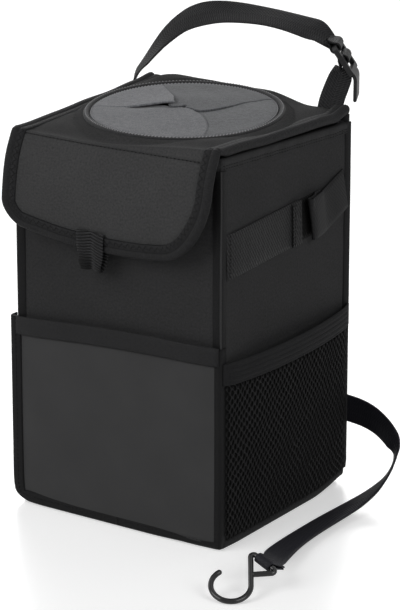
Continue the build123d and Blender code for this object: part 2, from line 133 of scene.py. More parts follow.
# Numbers

def ramp(value, start, end):
    """A soft step: 0 at the start, 1 at the end, level past both; the end may lie below the start."""
    t = np.clip((value - start) / (end - start), 0, 1)
    return t * t * (3 - 2 * t)


def unit(v):
    """Vectors along the last axis, scaled to length 1."""
    return v / np.maximum(np.linalg.norm(v, axis=-1, keepdims=True), 1e-9)


def stacked(*parts):
    """Numbers and grids of numbers, put together as points or places."""
    return np.stack(np.broadcast_arrays(*parts), axis=-1)


def grid(across, up):
    """Two grids of numbers, each from a start, an end and a count."""
    return np.meshgrid(np.linspace(*across), np.linspace(*up))


def ripple(u, v, seed, scale):
    """A soft uneven surface between about -1 and 1, made of a few waves."""
    rng = np.random.default_rng(seed)
    total = np.zeros(np.broadcast(u, v).shape)
    for octave in range(5):
        way = rng.uniform(0, full_turn)
        wave = scale / (1 + 0.6 * octave)
        phase = rng.uniform(0, full_turn)
        total = total + np.sin((u * np.cos(way) + v * np.sin(way)) * full_turn / wave + phase) / (1 + octave)
    return total / 2.3


def lengths(line):
    """Distance along a line of points, from its start."""
    steps = np.linalg.norm(np.diff(line, axis=0), axis=1)
    return np.concatenate([[0], np.cumsum(steps)])


def read_at(places, along, values):
    """Rows of values at some places, read between those given at distances along a line."""
    return stacked(*(np.interp(places, along, column) for column in values.T))


def circle(count, across=1.0, up=1.0):
    """Points at even steps round a circle or an oval."""
    turn = np.linspace(0, full_turn, count + 1)[:-1]
    return stacked(across * np.cos(turn), up * np.sin(turn))


def run_of(*stretches):
    """Stretches of an edge as one run; each stretch gives its columns, as numbers or as rows of numbers."""
    return [np.concatenate(column) for column in zip(*(np.broadcast_arrays(*each) for each in stretches))]


# Meshes: each is points, faces and weave places

def grid_faces(rows, columns, wrap=False):
    """Quads between rows of points; wrap joins the last column to the first."""
    r = np.arange(rows - 1)[:, None] * columns
    c = np.arange(columns if wrap else columns - 1)[None, :]
    n = (c + 1) % columns
    return stacked(r + c, r + n, r + columns + n, r + columns + c).reshape(-1, 4)


def settled(points):
    """The same points on a bin in use: its front right corner and right heel are up, its feet round."""
    x, y, z = np.asarray(points, float).T
    front = np.clip((62 - y) / 141, 0, 1)
    rise = corner_rise * ramp(x, -30, 83) * front * ramp(z, 205, 260) * ramp(np.hypot(x, y), 66, 80)
    rise = rise + heel_rise * ramp(x, 20, 70) * ramp(y, 34, 80) * ramp(z, 32, 0)
    foot = foot_round * ramp(z, 14, 0) ** 2 * ramp(np.abs(x), 60, 83) * ramp(np.abs(y), 56, 79)
    return stacked(x - np.sign(x) * foot, y - np.sign(y) * foot, z + rise)


def placed(name, data):
    """A new object in the scene."""
    thing = bpy.data.objects.new(name, data)
    bpy.context.scene.collection.objects.link(thing)
    return thing


def piece(name, mesh, look, nodes=(), body="body", settle=True):
    """A mesh object with one look, which stands for some solids and rides on a body."""
    points, faces, uv = mesh
    points = settled(points) if settle else points
    data = bpy.data.meshes.new(name)
    data.from_pydata((points * MM).tolist(), [], faces)
    layer = data.uv_layers.new(name="weave")
    order = np.zeros(len(data.loops), np.int32)
    data.loops.foreach_get("vertex_index", order)
    layer.data.foreach_set("uv", np.asarray(uv, np.float32)[order].ravel())
    data.materials.append(look["material"])
    data.shade_smooth()
    thing = placed(name, data)
    if nodes:
        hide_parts(*nodes)
    if body:
        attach(thing, body)
    return thing


def sheet_mesh(points, thickness, uv, kept):
    """A cloth of even thickness; kept drops quads where it is False."""
    rows, columns = points.shape[:2]
    normal = unit(np.cross(np.gradient(points, axis=1), np.gradient(points, axis=0)))
    both = np.concatenate([points + normal * thickness / 2, points - normal * thickness / 2]).reshape(-1, 3)
    front = grid_faces(rows, columns)[kept.ravel()]
    half = rows * columns
    faces = front.tolist() + (front[:, ::-1] + half).tolist()
    number = np.arange(half).reshape(rows, columns)
    for edge in (number[0], number[-1][::-1], number[:, 0][::-1], number[:, -1]):
        faces += stacked(edge[1:], edge[:-1], edge[:-1] + half, edge[1:] + half).tolist()
    return both, faces, np.concatenate([uv.reshape(-1, 2)] * 2)


def sheet(name, points, thickness, look, nodes=(), uv=None, body="body", kept=None):
    """A cloth through a grid of points, without the points that no face uses."""
    if uv is None:
        across, down = (np.diff(points, axis=i, prepend=np.take(points, [0], axis=i)) for i in (1, 0))
        uv = stacked(*(np.cumsum(np.linalg.norm(v, axis=2), axis=i) for v, i in ((across, 1), (down, 0))))
    kept = np.ones(np.subtract(points.shape[:2], 1), bool) if kept is None else kept
    both, faces, places = sheet_mesh(points, thickness, uv, kept)
    used, number = np.unique(faces, return_inverse=True)
    return piece(name, (both[used], number.reshape(-1, 4).tolist(), places[used]), look, nodes, body)


def swept_mesh(line, out, up, section):
    """A closed section carried along a line; out and up are one way, or one for each point."""
    section = np.asarray(section, float)
    section = np.broadcast_to(section, (len(line), *section.shape[-2:]))
    out, up = (np.broadcast_to(way, line.shape)[:, None] for way in (out, up))
    points = line[:, None] + section[..., :1] * out + section[..., 1:] * up
    rows, columns = points.shape[:2]
    faces = grid_faces(rows, columns, wrap=True).tolist()
    faces.append(list(range(columns)))
    faces.append(list(range((rows - 1) * columns, rows * columns))[::-1])
    steps = np.linalg.norm(np.diff(section, axis=1, prepend=section[:, :1]), axis=2)
    uv = stacked(np.cumsum(steps, axis=1), lengths(line)[:, None])
    return points.reshape(-1, 3), faces, uv.reshape(-1, 2)


def swept(name, line, out, up, section, look, nodes=(), body="body"):
    """A tape or bead of one section along a line."""
    return piece(name, swept_mesh(line, out, up, section), look, nodes, body)


def stitch_row(name, line, out, look, pitch=3.0, length=2.2, width=0.6, rise=0.35, body="body"):
    """A row of sewn stitches along a line, each a short thread that dips into the cloth at its ends."""
    along = lengths(line)
    places = np.arange(pitch / 2, along[-1], pitch)
    at = read_at(places, along, line)
    way = unit(read_at(places, along, np.gradient(line, along, axis=0)))
    up = unit(read_at(places, along, np.broadcast_to(out, line.shape)))
    end, side = way * length / 2, np.cross(way, up) * width / 2
    thread = [at - end - up * 0.2, at + side, at + up * rise, at - side, at - up * 0.3, at + end - up * 0.2]
    points = np.stack(thread, axis=1).reshape(-1, 3)
    faces = []
    for start in range(0, len(points), len(thread)):
        for a, b in ((1, 2), (2, 3), (3, 4), (4, 1)):
            faces.append([start, start + a, start + b])
            faces.append([start + 5, start + b, start + a])
    return piece(name, (points, faces, points[:, :2]), look, (), body)


def joined(parts):
    """Several meshes as one."""
    points, faces, uv, start = [], [], [], 0
    for p, f, w in parts:
        points.append(p)
        faces += [[i + start for i in face] for face in f]
        uv.append(w)
        start += len(p)
    return np.concatenate(points), faces, np.concatenate(uv)


def flat_section(width):
    """The section of webbing: flat faces and round edges."""
    w, t = width / 2, webbing / 2
    across = np.linspace(-1, 1, 9) * (w - 0.5 * t)
    top = [(x, t) for x in across]
    low = [(x, -t) for x in across[::-1]]
    return np.array(top + [(w, 0)] + low + [(-w, 0)])


def spline(points, steps):
    """Points read from a smooth curve that has the given points as its control points."""
    curve = bpy.data.curves.new("route", "CURVE")
    curve.dimensions = "3D"
    run = curve.splines.new("NURBS")
    run.points.add(len(points) - 1)
    for control, point in zip(run.points, points):
        control.co = (*point, 1)
    run.order_u = 3
    run.use_endpoint_u = True
    run.resolution_u = steps
    holder = bpy.data.objects.new("route", curve)
    mesh = bpy.data.meshes.new_from_object(holder)
    line = np.array([vertex.co for vertex in mesh.vertices])
    bpy.data.meshes.remove(mesh)
    bpy.data.objects.remove(holder)
    bpy.data.curves.remove(curve)
    return line


def strap_mesh(points, sides, width, steps=40, rib=1.9, fold=0.0, relief=0.16):
    """A flat ribbed strap along a route; sides gives the way its width points, and fold sinks its middle."""
    points = np.asarray(points, float)
    sides = unit(np.broadcast_to(np.asarray(sides, float), points.shape))
    width = np.broadcast_to(np.asarray(width, float), len(points))[:, None]
    line = spline(points, steps)
    reach = spline(points + sides * width / 2, steps) - line
    along = unit(np.gradient(line, axis=0))
    reach = reach - along * np.sum(reach * along, axis=1, keepdims=True)
    half = np.linalg.norm(reach, axis=1)
    side = unit(reach)
    ribs = 1 - relief * (1 + np.cos(lengths(line) * full_turn / rib))
    section = np.array([flat_section(2 * h) for h in half])
    inner = np.abs(section[..., 0]) < half[:, None] - selvedge
    section[..., 1] *= np.where(inner, ribs[:, None], 0.8)
    section[..., 1] += fold * np.clip(np.abs(section[..., 0]) / half[:, None] - 0.5, -0.5, 0)
    return swept_mesh(line, side, np.cross(along, side), section)


# Looks

def put(tree, socket, value):
    """Links a shader value to a socket, or sets a number there."""
    if isinstance(value, Shade):
        tree.links.new(value.socket, socket)
    else:
        socket.default_value = value


def node_of(tree, kind, *values, **named):
    """A shader node with its first sockets, or named ones, set or linked."""
    made = tree.nodes.new(kind)
    for key, value in [*enumerate(values), *named.items()]:
        put(tree, made.inputs[key], value)
    return made


class Shade:
    """A shader value, which is added and multiplied like a number."""

    def __init__(self, tree, socket):
        self.tree = tree
        self.socket = socket

    def calc(self, operation, *others):
        """One sum, with this value as its first."""
        made = self.tree.nodes.new("ShaderNodeMath")
        made.operation = operation
        for socket, value in zip(made.inputs, (self, *others)):
            put(self.tree, socket, value)
        return Shade(self.tree, made.outputs[0])

    def __add__(self, other):
        return self.calc("ADD", other)

    def __sub__(self, other):
        return self.calc("SUBTRACT", other)

    def __mul__(self, other):
        return self.calc("MULTIPLY", other)

    def ranged(self, low, high, to_low, to_high):
        """This value moved from one range to another, and held inside it."""
        made = node_of(self.tree, "ShaderNodeMapRange", self, low, high, to_low, to_high)
        return Shade(self.tree, made.outputs[0])

    def uneven(self, amount, tail=0.3):
        """Noise as a factor that strays from 1 by an amount; tail is the share of it cut off at each end."""
        return self.ranged(tail, 1 - tail, 1 - amount, 1 + amount)

    def waves(self, pitch):
        """A smooth wave of a given pitch, between 0 and 1."""
        return (self * (full_turn / pitch)).calc("SINE").calc("MULTIPLY_ADD", 0.5, 0.5)

    def cloud(self, scale, detail=3.0):
        """Soft noise between 0 and 1 at this place."""
        made = node_of(self.tree, "ShaderNodeTexNoise", Vector=self, Scale=scale, Detail=detail)
        return Shade(self.tree, made.outputs[0])


def make_look(name, slot, tone, roughness, sheen=0.0, shine=0.08):
    """A plain material; the fabric functions add their weave to it."""
    material = bpy.data.materials.new(name)
    material.use_nodes = True
    tree = material.node_tree
    shader = tree.nodes["Principled BSDF"]
    shader.inputs["Base Color"].default_value = (*tone, 1)
    shader.inputs["Roughness"].default_value = roughness
    shader.inputs["Specular IOR Level"].default_value = shine
    shader.inputs["Sheen Weight"].default_value = sheen
    shader.inputs["Sheen Roughness"].default_value = 0.6
    return {"material": material, "slot": slot, "tree": tree, "shader": shader, "tone": tone}


def weave_places(look):
    """The two weave coordinates of a piece, in millimetres, and both as a vector."""
    tree = look["tree"]
    place = tree.nodes.new("ShaderNodeUVMap")
    place.uv_map = "weave"
    both = Shade(tree, place.outputs[0])
    split = node_of(tree, "ShaderNodeSeparateXYZ", both)
    return Shade(tree, split.outputs[0]), Shade(tree, split.outputs[1]), both


def finish_look(look, height, shade, depth):
    """Links a bump height and a factor on the tone to a look."""
    tree, shader = look["tree"], look["shader"]
    bump = node_of(tree, "ShaderNodeBump", Strength=1.0, Distance=depth * MM, Height=height)
    tree.links.new(bump.outputs[0], shader.inputs["Normal"])
    colour = node_of(tree, "ShaderNodeCombineColor", *(shade * channel for channel in look["tone"]))
    tree.links.new(colour.outputs[0], shader.inputs["Base Color"])
    return look


def woven(name, slot, tone, roughness, pitch, depth, mottle, lid_painted_shade=1.0):
    """Plain weave: threads over and under, with uneven yarn; the last argument is painted shade, which
    darkens the lid's top where v is below 0.
    """
    look = make_look(name, slot, tone, roughness)
    u, v, place = weave_places(look)
    threads = u.waves(pitch) * v.waves(pitch)
    yarn = place.cloud(0.55 / pitch, detail=4.0)
    broad = place.cloud(0.03, detail=2.0)
    shade = yarn.uneven(mottle, 0.25) * broad.uneven(0.06)
    # Painted shade: the lid's top is darker than the flap of the same cloth, as though less light fell on it.
    if lid_painted_shade < 1:
        shade = shade * v.ranged(-12.0, 3.0, lid_painted_shade, 1.0)
    return finish_look(look, threads + yarn * 1.2, shade, depth)


def ribbed(name, slot, tone, roughness, rib, rows, depth, slant=0.6, rib_shade=0.45, painted_hollow_shade=0.0):
    """Webbing: ribs across its length, in rows along it, with painted shade in the grooves; the last argument
    is painted shade on a loop's lower left half, where its inside lies in shadow.
    """
    look = make_look(name, slot, tone, roughness)
    u, v, place = weave_places(look)
    row = u.calc("PINGPONG", rows)
    ribs = (v + row * slant).waves(rib)
    lanes = row.ranged(0.0, 0.25 * rows, 0.45, 1.0)
    yarn = place.cloud(0.6)
    # Painted shade and light on the ribs: the tone is darker in the grooves and lighter on the crests.
    shade = ribs.ranged(0, 1, 1 - rib_shade, 1 + rib_shade) * yarn.uneven(0.2)
    # Painted shade: the loop's lower left half is darkened where the inside of the loop lies in shadow.
    if painted_hollow_shade:
        low_part = v.ranged(15.0, 24.0, 1.0, 1 - painted_hollow_shade)
        right_part = u.ranged(9.0, 11.0, 0.0, 1.0)
        shade = shade * low_part.calc("MAXIMUM", right_part)
    return finish_look(look, ribs * lanes + yarn * 0.5, shade, depth)


def stitched(name, slot, tone, middle, swing, pitch):
    """Bias tape with a zigzag seam along it, at a distance from the section's start."""
    look = make_look(name, slot, tone, 0.62)
    u, v, place = weave_places(look)
    zigzag = v.calc("PINGPONG", pitch).calc("MULTIPLY_ADD", 2 * swing / pitch, middle - swing)
    thread = (u - zigzag).calc("ABSOLUTE").ranged(0.3, 0.7, 1.0, 0.0)
    yarn = place.cloud(0.5)
    height = v.waves(1.4) * 0.4 + (yarn - thread)
    return finish_look(look, height, thread.ranged(0, 1, 1.0, 0.45) * yarn.uneven(0.2), 0.35)


def grained(name, slot, tone, roughness, shine):
    """Moulded or dipped plastic, or thread: a fine grain in its gloss."""
    look = make_look(name, slot, tone, roughness, shine=shine)
    place = look["tree"].nodes.new("ShaderNodeTexCoord").outputs["Object"]
    grain = Shade(look["tree"], place).cloud(900.0)
    return finish_look(look, grain, grain.uneven(0.15), 0.04)


def knit(name, slot, tone):
    """Grey knit bonded to foam rubber: fine speckle and a soft nap."""
    look = make_look(name, slot, tone, 0.9, sheen=0.15)
    place = weave_places(look)[2]
    speckle = place.cloud(1.1, detail=2.0)
    grain = place.cloud(0.28)
    return finish_look(look, speckle + grain, speckle.uneven(0.4) * grain.uneven(0.18), 0.3)


# Cloths by tone, roughness, pitch and depth of the weave, and mottle, and for the oxford painted shade on the
# lid's top;
# webbing by tone, roughness, rib, rows, depth, slant, painted shade in the rib grooves and painted shade in a
# loop's hollow; thread, plastic and wire by tone, roughness and shine
# The oxford's last number paints shade on the lid's top.
shell_look = woven("oxford", "shell_fabric", (0.036, 0.036, 0.0365), 0.8, 0.8, 0.26, 0.28, 0.62)
wall_look = woven("wall_cloth", "shell_fabric", (0.0205, 0.0205, 0.021), 0.8, 0.9, 0.2, 0.26)
pocket_look = woven("pocket_cloth", "pocket_fabric", (0.0315, 0.0315, 0.032), 0.7, 0.6, 0.03, 0.03)
tape_look = woven("tape", "tape", (0.0125, 0.0125, 0.013), 0.65, 0.9, 0.12, 0.2)
strip_look = woven("strip_tape", "tape", (0.006, 0.006, 0.0063), 0.65, 0.9, 0.14, 0.25)
hem_look = woven("hem_tape", "tape", (0.019, 0.019, 0.0195), 0.7, 0.9, 0.14, 0.15)
edge_look = stitched("edge_tape", "tape", (0.0105, 0.0105, 0.011), 3.1, 1.5, 2.4)
thread_look = grained("thread", "tape", (0.004, 0.004, 0.0042), 0.7, 0.1)
pale_thread_look = grained("pale_thread", "foam", (0.24, 0.24, 0.25), 0.7, 0.1)
webbing_look = ribbed("webbing", "webbing", (0.0125, 0.0125, 0.0133), 0.5, 1.9, 10.0, 0.3)
band_look = ribbed("band_webbing", "webbing", (0.0175, 0.0175, 0.018), 0.55, 2.4, 40.0, 0.6)
# Near black: painted shade for the crevice under the side band's loop.
slot_shade_look = ribbed("slot_painted_shade", "webbing", (0.003, 0.003, 0.003), 0.8, 2.4, 40.0, 0.3)
loop_look = ribbed("loop_webbing", "webbing", (0.0098, 0.0098, 0.0102), 0.65, 2.4, 40.0, 0.12, 0.6, 0.1)
hook_strap_look = ribbed("hook_webbing", "webbing", (0.0125, 0.0125, 0.0155), 0.5, 1.9, 10.0, 0.12, 0.6, 0.15)
# The pull loop's last number paints shade in its hollow.
pull_look = ribbed("pull_webbing", "webbing", (0.0125, 0.0125, 0.013), 0.55, 2.1, 11.0, 0.6, 0.2, 0.8, 0.88)
elastic_look = woven("elastic", "elastic", (0.0095, 0.0095, 0.01), 0.75, 1.1, 0.2, 0.2)
net_look = woven("net", "netting", (0.0108, 0.0108, 0.0112), 0.65, 0.7, 0.1, 0.2)
# Near black: a sheet behind the net that paints the shade under it.
net_shade_look = woven("net_shade_sheet", "netting", (0.003, 0.003, 0.003), 0.9, 0.7, 0.1, 0.3)
# The four petals are one grey knit in lit and shaded copies, painted light and shade with the left lightest
# and the back darkest; the edge tone is the ring's own.
foam_tones_with_painted_shade = {
    "left": (0.112, 0.114, 0.122), "front": (0.098, 0.1, 0.107), "right": (0.07, 0.072, 0.077),
    "back": (0.059, 0.061, 0.066), "edge": (0.015, 0.015, 0.016),
}
foam_looks = {name: knit(f"foam_{name}", "foam", tone) for name, tone in foam_tones_with_painted_shade.items()}
lining_look = woven("lining", "lining", (0.055, 0.056, 0.058), 0.45, 1.0, 0.05, 0.1)
board_look = woven("board", "stiffener", (0.05, 0.05, 0.052), 0.7, 3.0, 0.05, 0.05)
closure_look = woven("closure", "closure", (0.012, 0.012, 0.0125), 0.95, 1.4, 0.6, 0.4)
buckle_look = grained("buckle", "buckle", (0.009, 0.009, 0.0095), 0.5, 0.18)
wire_look = grained("coated_wire", "wire", (0.004, 0.004, 0.0045), 0.13, 0.32)
piping_look = grained("piping", "tape", (0.012, 0.012, 0.0124), 0.58, 0.2)


# Walls and base

wall_swell = 1.3


def wall(name, node, place, span, outward, seed):
    """A stiffened wall that swells a little between its seams."""
    top = high_of(node, Z)
    a, z = grid((-span, span, 40), (fabric, top, 50))
    swell = np.cos(a / span * np.pi / 2) ** 0.7 * np.sin((z - fabric) / (top - fabric) * np.pi) ** 0.5
    creases = 0.25 * ripple(a, z, seed, scale=90)
    creases = creases + 0.3 * ripple(a, z, seed + 20, scale=34) * ramp(z, 140, 230)
    face = place - fabric / 2 + np.clip(wall_swell * swell + creases, 0, 3)
    if outward[0]:
        points = stacked(face * outward[0], a * outward[0], z)
    else:
        points = stacked(-a * outward[1], face * outward[1], z)
    sheet(name, points, fabric, wall_look, [node], stacked(a, z))


wall("front_cloth", "front_wall", wall_y, wall_x, (0, -1), 1)
wall("back_cloth", "back_wall", wall_y, wall_x, (0, 1), 2)
wall("right_cloth", "right_wall", wall_x, wall_y, (1, 0), 3)
wall("left_cloth", "left_wall", wall_x, wall_y, (-1, 0), 4)

base_x, base_y = grid((-wall_x, wall_x, 24), (-wall_y, wall_y, 24))
base_z = 0.9 + 0.25 * ripple(base_x, base_y, seed=3, scale=70)
sheet("base_cloth", stacked(base_x, base_y, base_z), base_fabric, wall_look, ["base_panel"])


def round_corners(x, y, radius, count=8):
    """A rectangle round the middle with round corners, as points and the ways out from them."""
    points, ways = [], []
    for cx, cy, start in ((x, y, 0), (-x, y, 90), (-x, -y, 180), (x, -y, 270)):
        middle = np.array([cx - radius * np.sign(cx), cy - radius * np.sign(cy), 0])
        for angle in np.radians(np.linspace(start, start + 90, count + 1)):
            way = np.array([np.cos(angle), np.sin(angle), 0])
            points.append(middle + way * radius)
            ways.append(way)
    return np.array(points + points[:1]), np.array(ways + ways[:1])


def dense(line, ways, step=3.0):
    """Points at even steps along a line, with the ways out that go with them."""
    along = lengths(line)
    places = np.linspace(0, along[-1], max(2, int(along[-1] / step)))
    return read_at(places, along, line), unit(read_at(places, along, ways))


# Binding round the base
base_line, base_out = dense(*round_corners(wall_x, wall_y, 2.5))
base_half = base_tape_top / 2
base_line = base_line + upright * (base_half + 0.2)
base_section = [
    (-0.6, -base_half), (0.9, -base_half + 0.4), (1.5, -base_half + 1.6), (1.6, 0.2),
    (1.3, base_half - 0.7), (0.7, base_half), (-0.6, base_half),
]
swept("base_edge", base_line, base_out, upright, base_section, tape_look, ["base_binding"])

# Binding over the rim: along the left side, round the front and back along the right side
rim_inset = 1.6
rim_in = wall_x - rim_inset
rim_tall = rim_top - rim_low
corner_steps = 8
corner_line, corner_out = round_corners(rim_in, wall_y - rim_inset, 2.0, corner_steps)
front_half = slice(2 * (corner_steps + 1), 4 * (corner_steps + 1))
rim_line = [(-rim_in, clear_y, 0), (-rim_in, -wall_y + 3.6, 0)]
rim_line += [*corner_line[front_half], (rim_in, clear_y, 0)]
rim_out = [(-1, 0, 0), (-1, 0, 0), *corner_out[front_half], (1, 0, 0)]
rim_line, rim_out = dense(np.array(rim_line), np.array(rim_out), 1.5)
rim_line = rim_line + upright * rim_top
rim_section = [
    (-2.7, -rim_tall), (1.9, -rim_tall), (2.4, -rim_tall + 0.5), (1.9, -rim_tall + 1.2),
    (2.5, -rim_tall + 2.1), (1.9, -rim_tall + 3.0), (2.6, -rim_tall + 3.8), (2.5, -1.8),
    (2, -0.8), (0.8, -0.4), (-2, -0.4), (-2.7, -1.1),
]
rim_pucker = 0.4 * ripple(lengths(rim_line), 0, seed=31, scale=15) * ramp(rim_line[:, Y], -74, -62)
rim_sections = np.repeat(np.array(rim_section)[None], len(rim_line), axis=0)
rim_sections[:, 2:8, 0] += rim_pucker[:, None]
swept("rim_edge", rim_line, rim_out, upright, rim_sections, hem_look, ["rim_binding"])
for k, down in enumerate((rim_tall - 1.2, rim_tall - 3.0)):
    stitch_line = rim_line + rim_out * (2.1 + rim_pucker)[:, None] - upright * down
    stitch_row(f"rim_stitches_{k}", stitch_line, rim_out, thread_look, length=2.4, width=0.8)

# Tape and piping down the four seams
bead = circle(8, 0.65, 0.65) + 0.5
bend = [
    (-6, 0.1), (-5.6, 0.7), (-1, 0.9), (0.4, 0.75), (0.8, 0.2), (0.9, -1), (0.7, -5.6), (0.1, -6),
    (-0.6, -5.5), (-0.6, -0.6), (-5.5, -0.6),
]
for end, side_y, seam_top, first in (("front", -1, rim_low, 20), ("back", 1, wall_top, 0)):
    seam_height = np.linspace(base_tape_top, seam_top, 40)
    for hand, side_x in (("right", 1), ("left", -1)):
        seam_wave = 0.25 * ripple(seam_height, 0, 5 + side_y + 2 * side_x, scale=110)
        line = stacked(side_x * wall_x + seam_wave, side_y * wall_y, seam_height)
        ways = (side_x, 0, 0), (0, side_y, 0)
        swept(f"{end}_{hand}_seam", line, *ways, bend, strip_look, [f"{end}_{hand}_seam_binding"])
        swept(f"{end}_{hand}_piping", line[first:], *ways, bead, piping_look)

# Lining bag inside the boards
bag_line, bag_out = dense(*round_corners(clear_x + 0.3, clear_y + 0.3, 8.0, 6), 5.0)
bag_drop, bag_back_rise, bag_slack = 2.0, 2.6, 1.2
bag_top = wall_top - bag_drop + bag_back_rise * ramp(bag_line[:, Y], 60, 70)
bag_u, bag_share = np.meshgrid(lengths(bag_line), np.linspace(0, 1, 30))
bag_z = liner_floor + (bag_top - liner_floor) * bag_share
bag_rise = (bag_z - liner_floor) / (wall_top - liner_floor)
slack = bag_slack * np.clip(ripple(bag_u, bag_z, seed=11, scale=60), 0, 1) * np.sin(bag_rise * np.pi)
slack[:, -1] = slack[:, 0]
bag = bag_line[None] - bag_out[None] * slack[..., None] + upright * bag_z[..., None]
sheet("lining_bag", bag, bag_film, lining_look, ["liner"], stacked(bag_u, bag_z))
floor_x, floor_y = grid((-clear_x, clear_x, 20), (-clear_y, clear_y, 20))
floor_z = liner_floor + 0.4 * (1 + ripple(floor_x, floor_y, seed=12, scale=60))
sheet("lining_floor", stacked(floor_x, floor_y, floor_z), floor_film, lining_look)


# Lid and flap: one cloth over the lid and down the front

def cover_profile():
    """The cloth seen from the side, as (y, z) at even steps, and the length along it up to the crease."""
    chord = flap_end - crease
    span = np.linalg.norm(chord)
    radius = (span**2 / 4 + flap_bow**2) / (2 * flap_bow)
    arc_out = np.array([chord[1], -chord[0]]) / span
    middle = (crease + flap_end) / 2 - arc_out * (radius - flap_bow)
    half = np.arcsin(span / 2 / radius)
    way = np.arctan2(arc_out[1], arc_out[0])
    turns = np.linspace(way - half, way + half, 80)
    flap_face = middle + (radius + flap_thickness) * stacked(np.cos(turns), np.sin(turns))
    lid_face = stacked(np.linspace(lid_back, -half_y + 3, 120), lid_top + 0.3)
    line = np.vstack([lid_face, flap_face])
    along = lengths(line)
    even = np.arange(0, along[-1], 0.5)
    return read_at(even, along, line), even - along[len(lid_face)]


def softened(line, reach=6, kept=8):
    """A line with its bends made soft; its ends are kept."""
    weights = np.exp(-np.linspace(-3, 3, 2 * reach + 1) ** 2 / 2)
    longer = np.pad(line, ((reach, reach), (0, 0)), mode="edge")
    soft = stacked(*(np.convolve(column, weights / weights.sum(), mode="valid") for column in longer.T))
    soft[:kept], soft[-kept:] = line[:kept], line[-kept:]
    return soft


profile, profile_at = cover_profile()
profile = softened(profile)
profile_way = unit(np.gradient(profile, axis=0))
flap_length = profile_at[-1]
lid_length = -profile_at[0]


def puff(x, y):
    """How far the lid's padding lifts its cloth."""
    edge = ramp(np.abs(x), wall_x, wall_x - lid_puff_run) * ramp(np.abs(y), wall_y, wall_y - lid_puff_run)
    disc = ramp(np.hypot(x, y), ring_radius + 10, ring_radius + 1)
    return lid_puff * np.maximum(0.45 * edge, disc)


def back_share(y):
    """How far a place lies towards the lid's back, from 0 to 1."""
    return ramp(y, -50, 70)


def lid_rise(x, y):
    """How far the lid's cloth stands over its flat top: its padding, and its back edge which sits higher."""
    brow = back_brow * ramp(np.hypot(x, y), ring_radius + 1, ring_radius + 11) * ramp(y, 40, 70)
    brow = brow * ramp(x, -80, -58) * ramp(x, 52, 18)
    return puff(x, y) * (1 + 0.35 * back_share(y)) + back_lift * back_share(y) + brow


def flap_rise(x):
    """How far the flap's lower edge rises towards its two corners."""
    return np.where(x < 0, 6.0 * (x / 63) ** 2, 2.2 * (x / 40) ** 2)


def on_cover(x, s, lift=0.0):
    """A point of the cloth: x across, s along it from the crease; with its outward way and its way down."""
    x, s = np.asarray(x, float), np.asarray(s, float)
    s = s - flap_rise(x) * ramp(s, 20, flap_length)
    y, z = (np.interp(s, profile_at, column) for column in profile.T)
    down = unit(stacked(0, *(np.interp(s, profile_at, column) for column in profile_way.T)))
    out = stacked(0, down[..., 2], -down[..., 1])
    rise = lift + lid_rise(x, y) * ramp(s, -2, -12)
    return stacked(x, y, z) + out * rise[..., None], out, down


def corner_inset(s, corner):
    """How far the flap's side has drawn in at a distance below the crease, round an oval corner."""
    below = np.clip(s - (flap_length - corner[1]), 0, corner[1]) / corner[1]
    return corner[0] * (1 - np.sqrt(1 - below**2))


def crease_place(x):
    """Where the sewn crease runs: it slips down the front towards the right."""
    return 1.2 + (corner_rise - 2.2) * ramp(x, -30, 83)


def cloth_wave(x, s):
    """The soft waves of the lid's and the flap's cloth."""
    return 0.5 * ripple(x, s, seed=21, scale=75) * ramp(np.abs(s), 3, 18)


cover_columns = 61
lid_rows, crease_rows = np.linspace(-lid_length, -3, 62), np.linspace(-2.4, 9.6, 21)
rows = np.concatenate([lid_rows, crease_rows, np.linspace(10.5, flap_length, 44)])
cover_left = (-wall_x + corner_inset(rows, flap_left_corner))[:, None]
cover_right = (wall_x - corner_inset(rows, flap_right_corner))[:, None]
cover_x = cover_left + (cover_right - cover_left) * np.linspace(0, 1, cover_columns)[None]
cover_s = np.repeat(rows[:, None], cover_columns, axis=1)
notch_depth, notch_width = 1.3, 0.9
notch = -notch_depth * np.exp(-((cover_s - crease_place(cover_x)) / notch_width) ** 2)
cover = on_cover(cover_x, cover_s, cloth_wave(cover_x, cover_s) + notch - fabric / 2)[0]

# The cloth's back edge is tucked down behind the lid
tuck_in, tuck_run = 0.5, 6.0
cover[0, :, Y] -= tuck_in
tuck = cover[:1] - np.array([0, tuck_in, 0])
tuck[..., Z] = lid_top + 0.9
cover = np.concatenate([tuck, cover])
cover_uv = stacked(cover_x, cover_s)
cover_uv = np.concatenate([cover_uv[:1] - np.array([0, tuck_run]), cover_uv])
centre = (cover[:-1, :-1] + cover[1:, 1:]) / 2
ring_lap = 6.0
in_ring = np.hypot(centre[..., X], centre[..., Y]) < ring_radius - ring_lap
open_lid = in_ring & (centre[..., Z] > lid_top - 5)
cover_nodes = ["lid_panel", "flap_panel"]
lid_cloth = sheet("lid_and_flap", cover, fabric, shell_look, cover_nodes, cover_uv, None, ~open_lid)
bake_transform(lid_cloth)
crease_margin, crease_sink = 9, -0.95
crease_x = np.linspace(-wall_x + crease_margin, wall_x - crease_margin, 60)
crease_line, crease_out, _ = on_cover(crease_x, crease_place(crease_x), crease_sink)
crease_thread = stitch_row(
    "crease_stitches", crease_line, crease_out, thread_look, pitch=3.2, length=2.6, width=0.8, body=None
)
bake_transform(crease_thread)

# Tape bound along the lid's sides and round the flap, in one run
corner_turn = np.radians(np.linspace(0, 90, 30))


def side_run(side, corner):
    """The edge from the lid's back to the middle of the flap's foot: x, s, and the way in by both."""
    side_s = np.arange(-lid_length + 0.5, flap_length - corner[1], 2.0)
    turn_x, turn_s = np.cos(corner_turn), np.sin(corner_turn)
    inset, s, way_x, way_s = run_of(
        (0, side_s, 1, 0),
        (corner[0] * (1 - turn_x), flap_length - corner[1] * (1 - turn_s), turn_x, -turn_s),
        (np.linspace(corner[0] + 2, wall_x, 24), flap_length, 0, -1),
    )
    return side * (wall_x - inset), s, -side * way_x, way_s


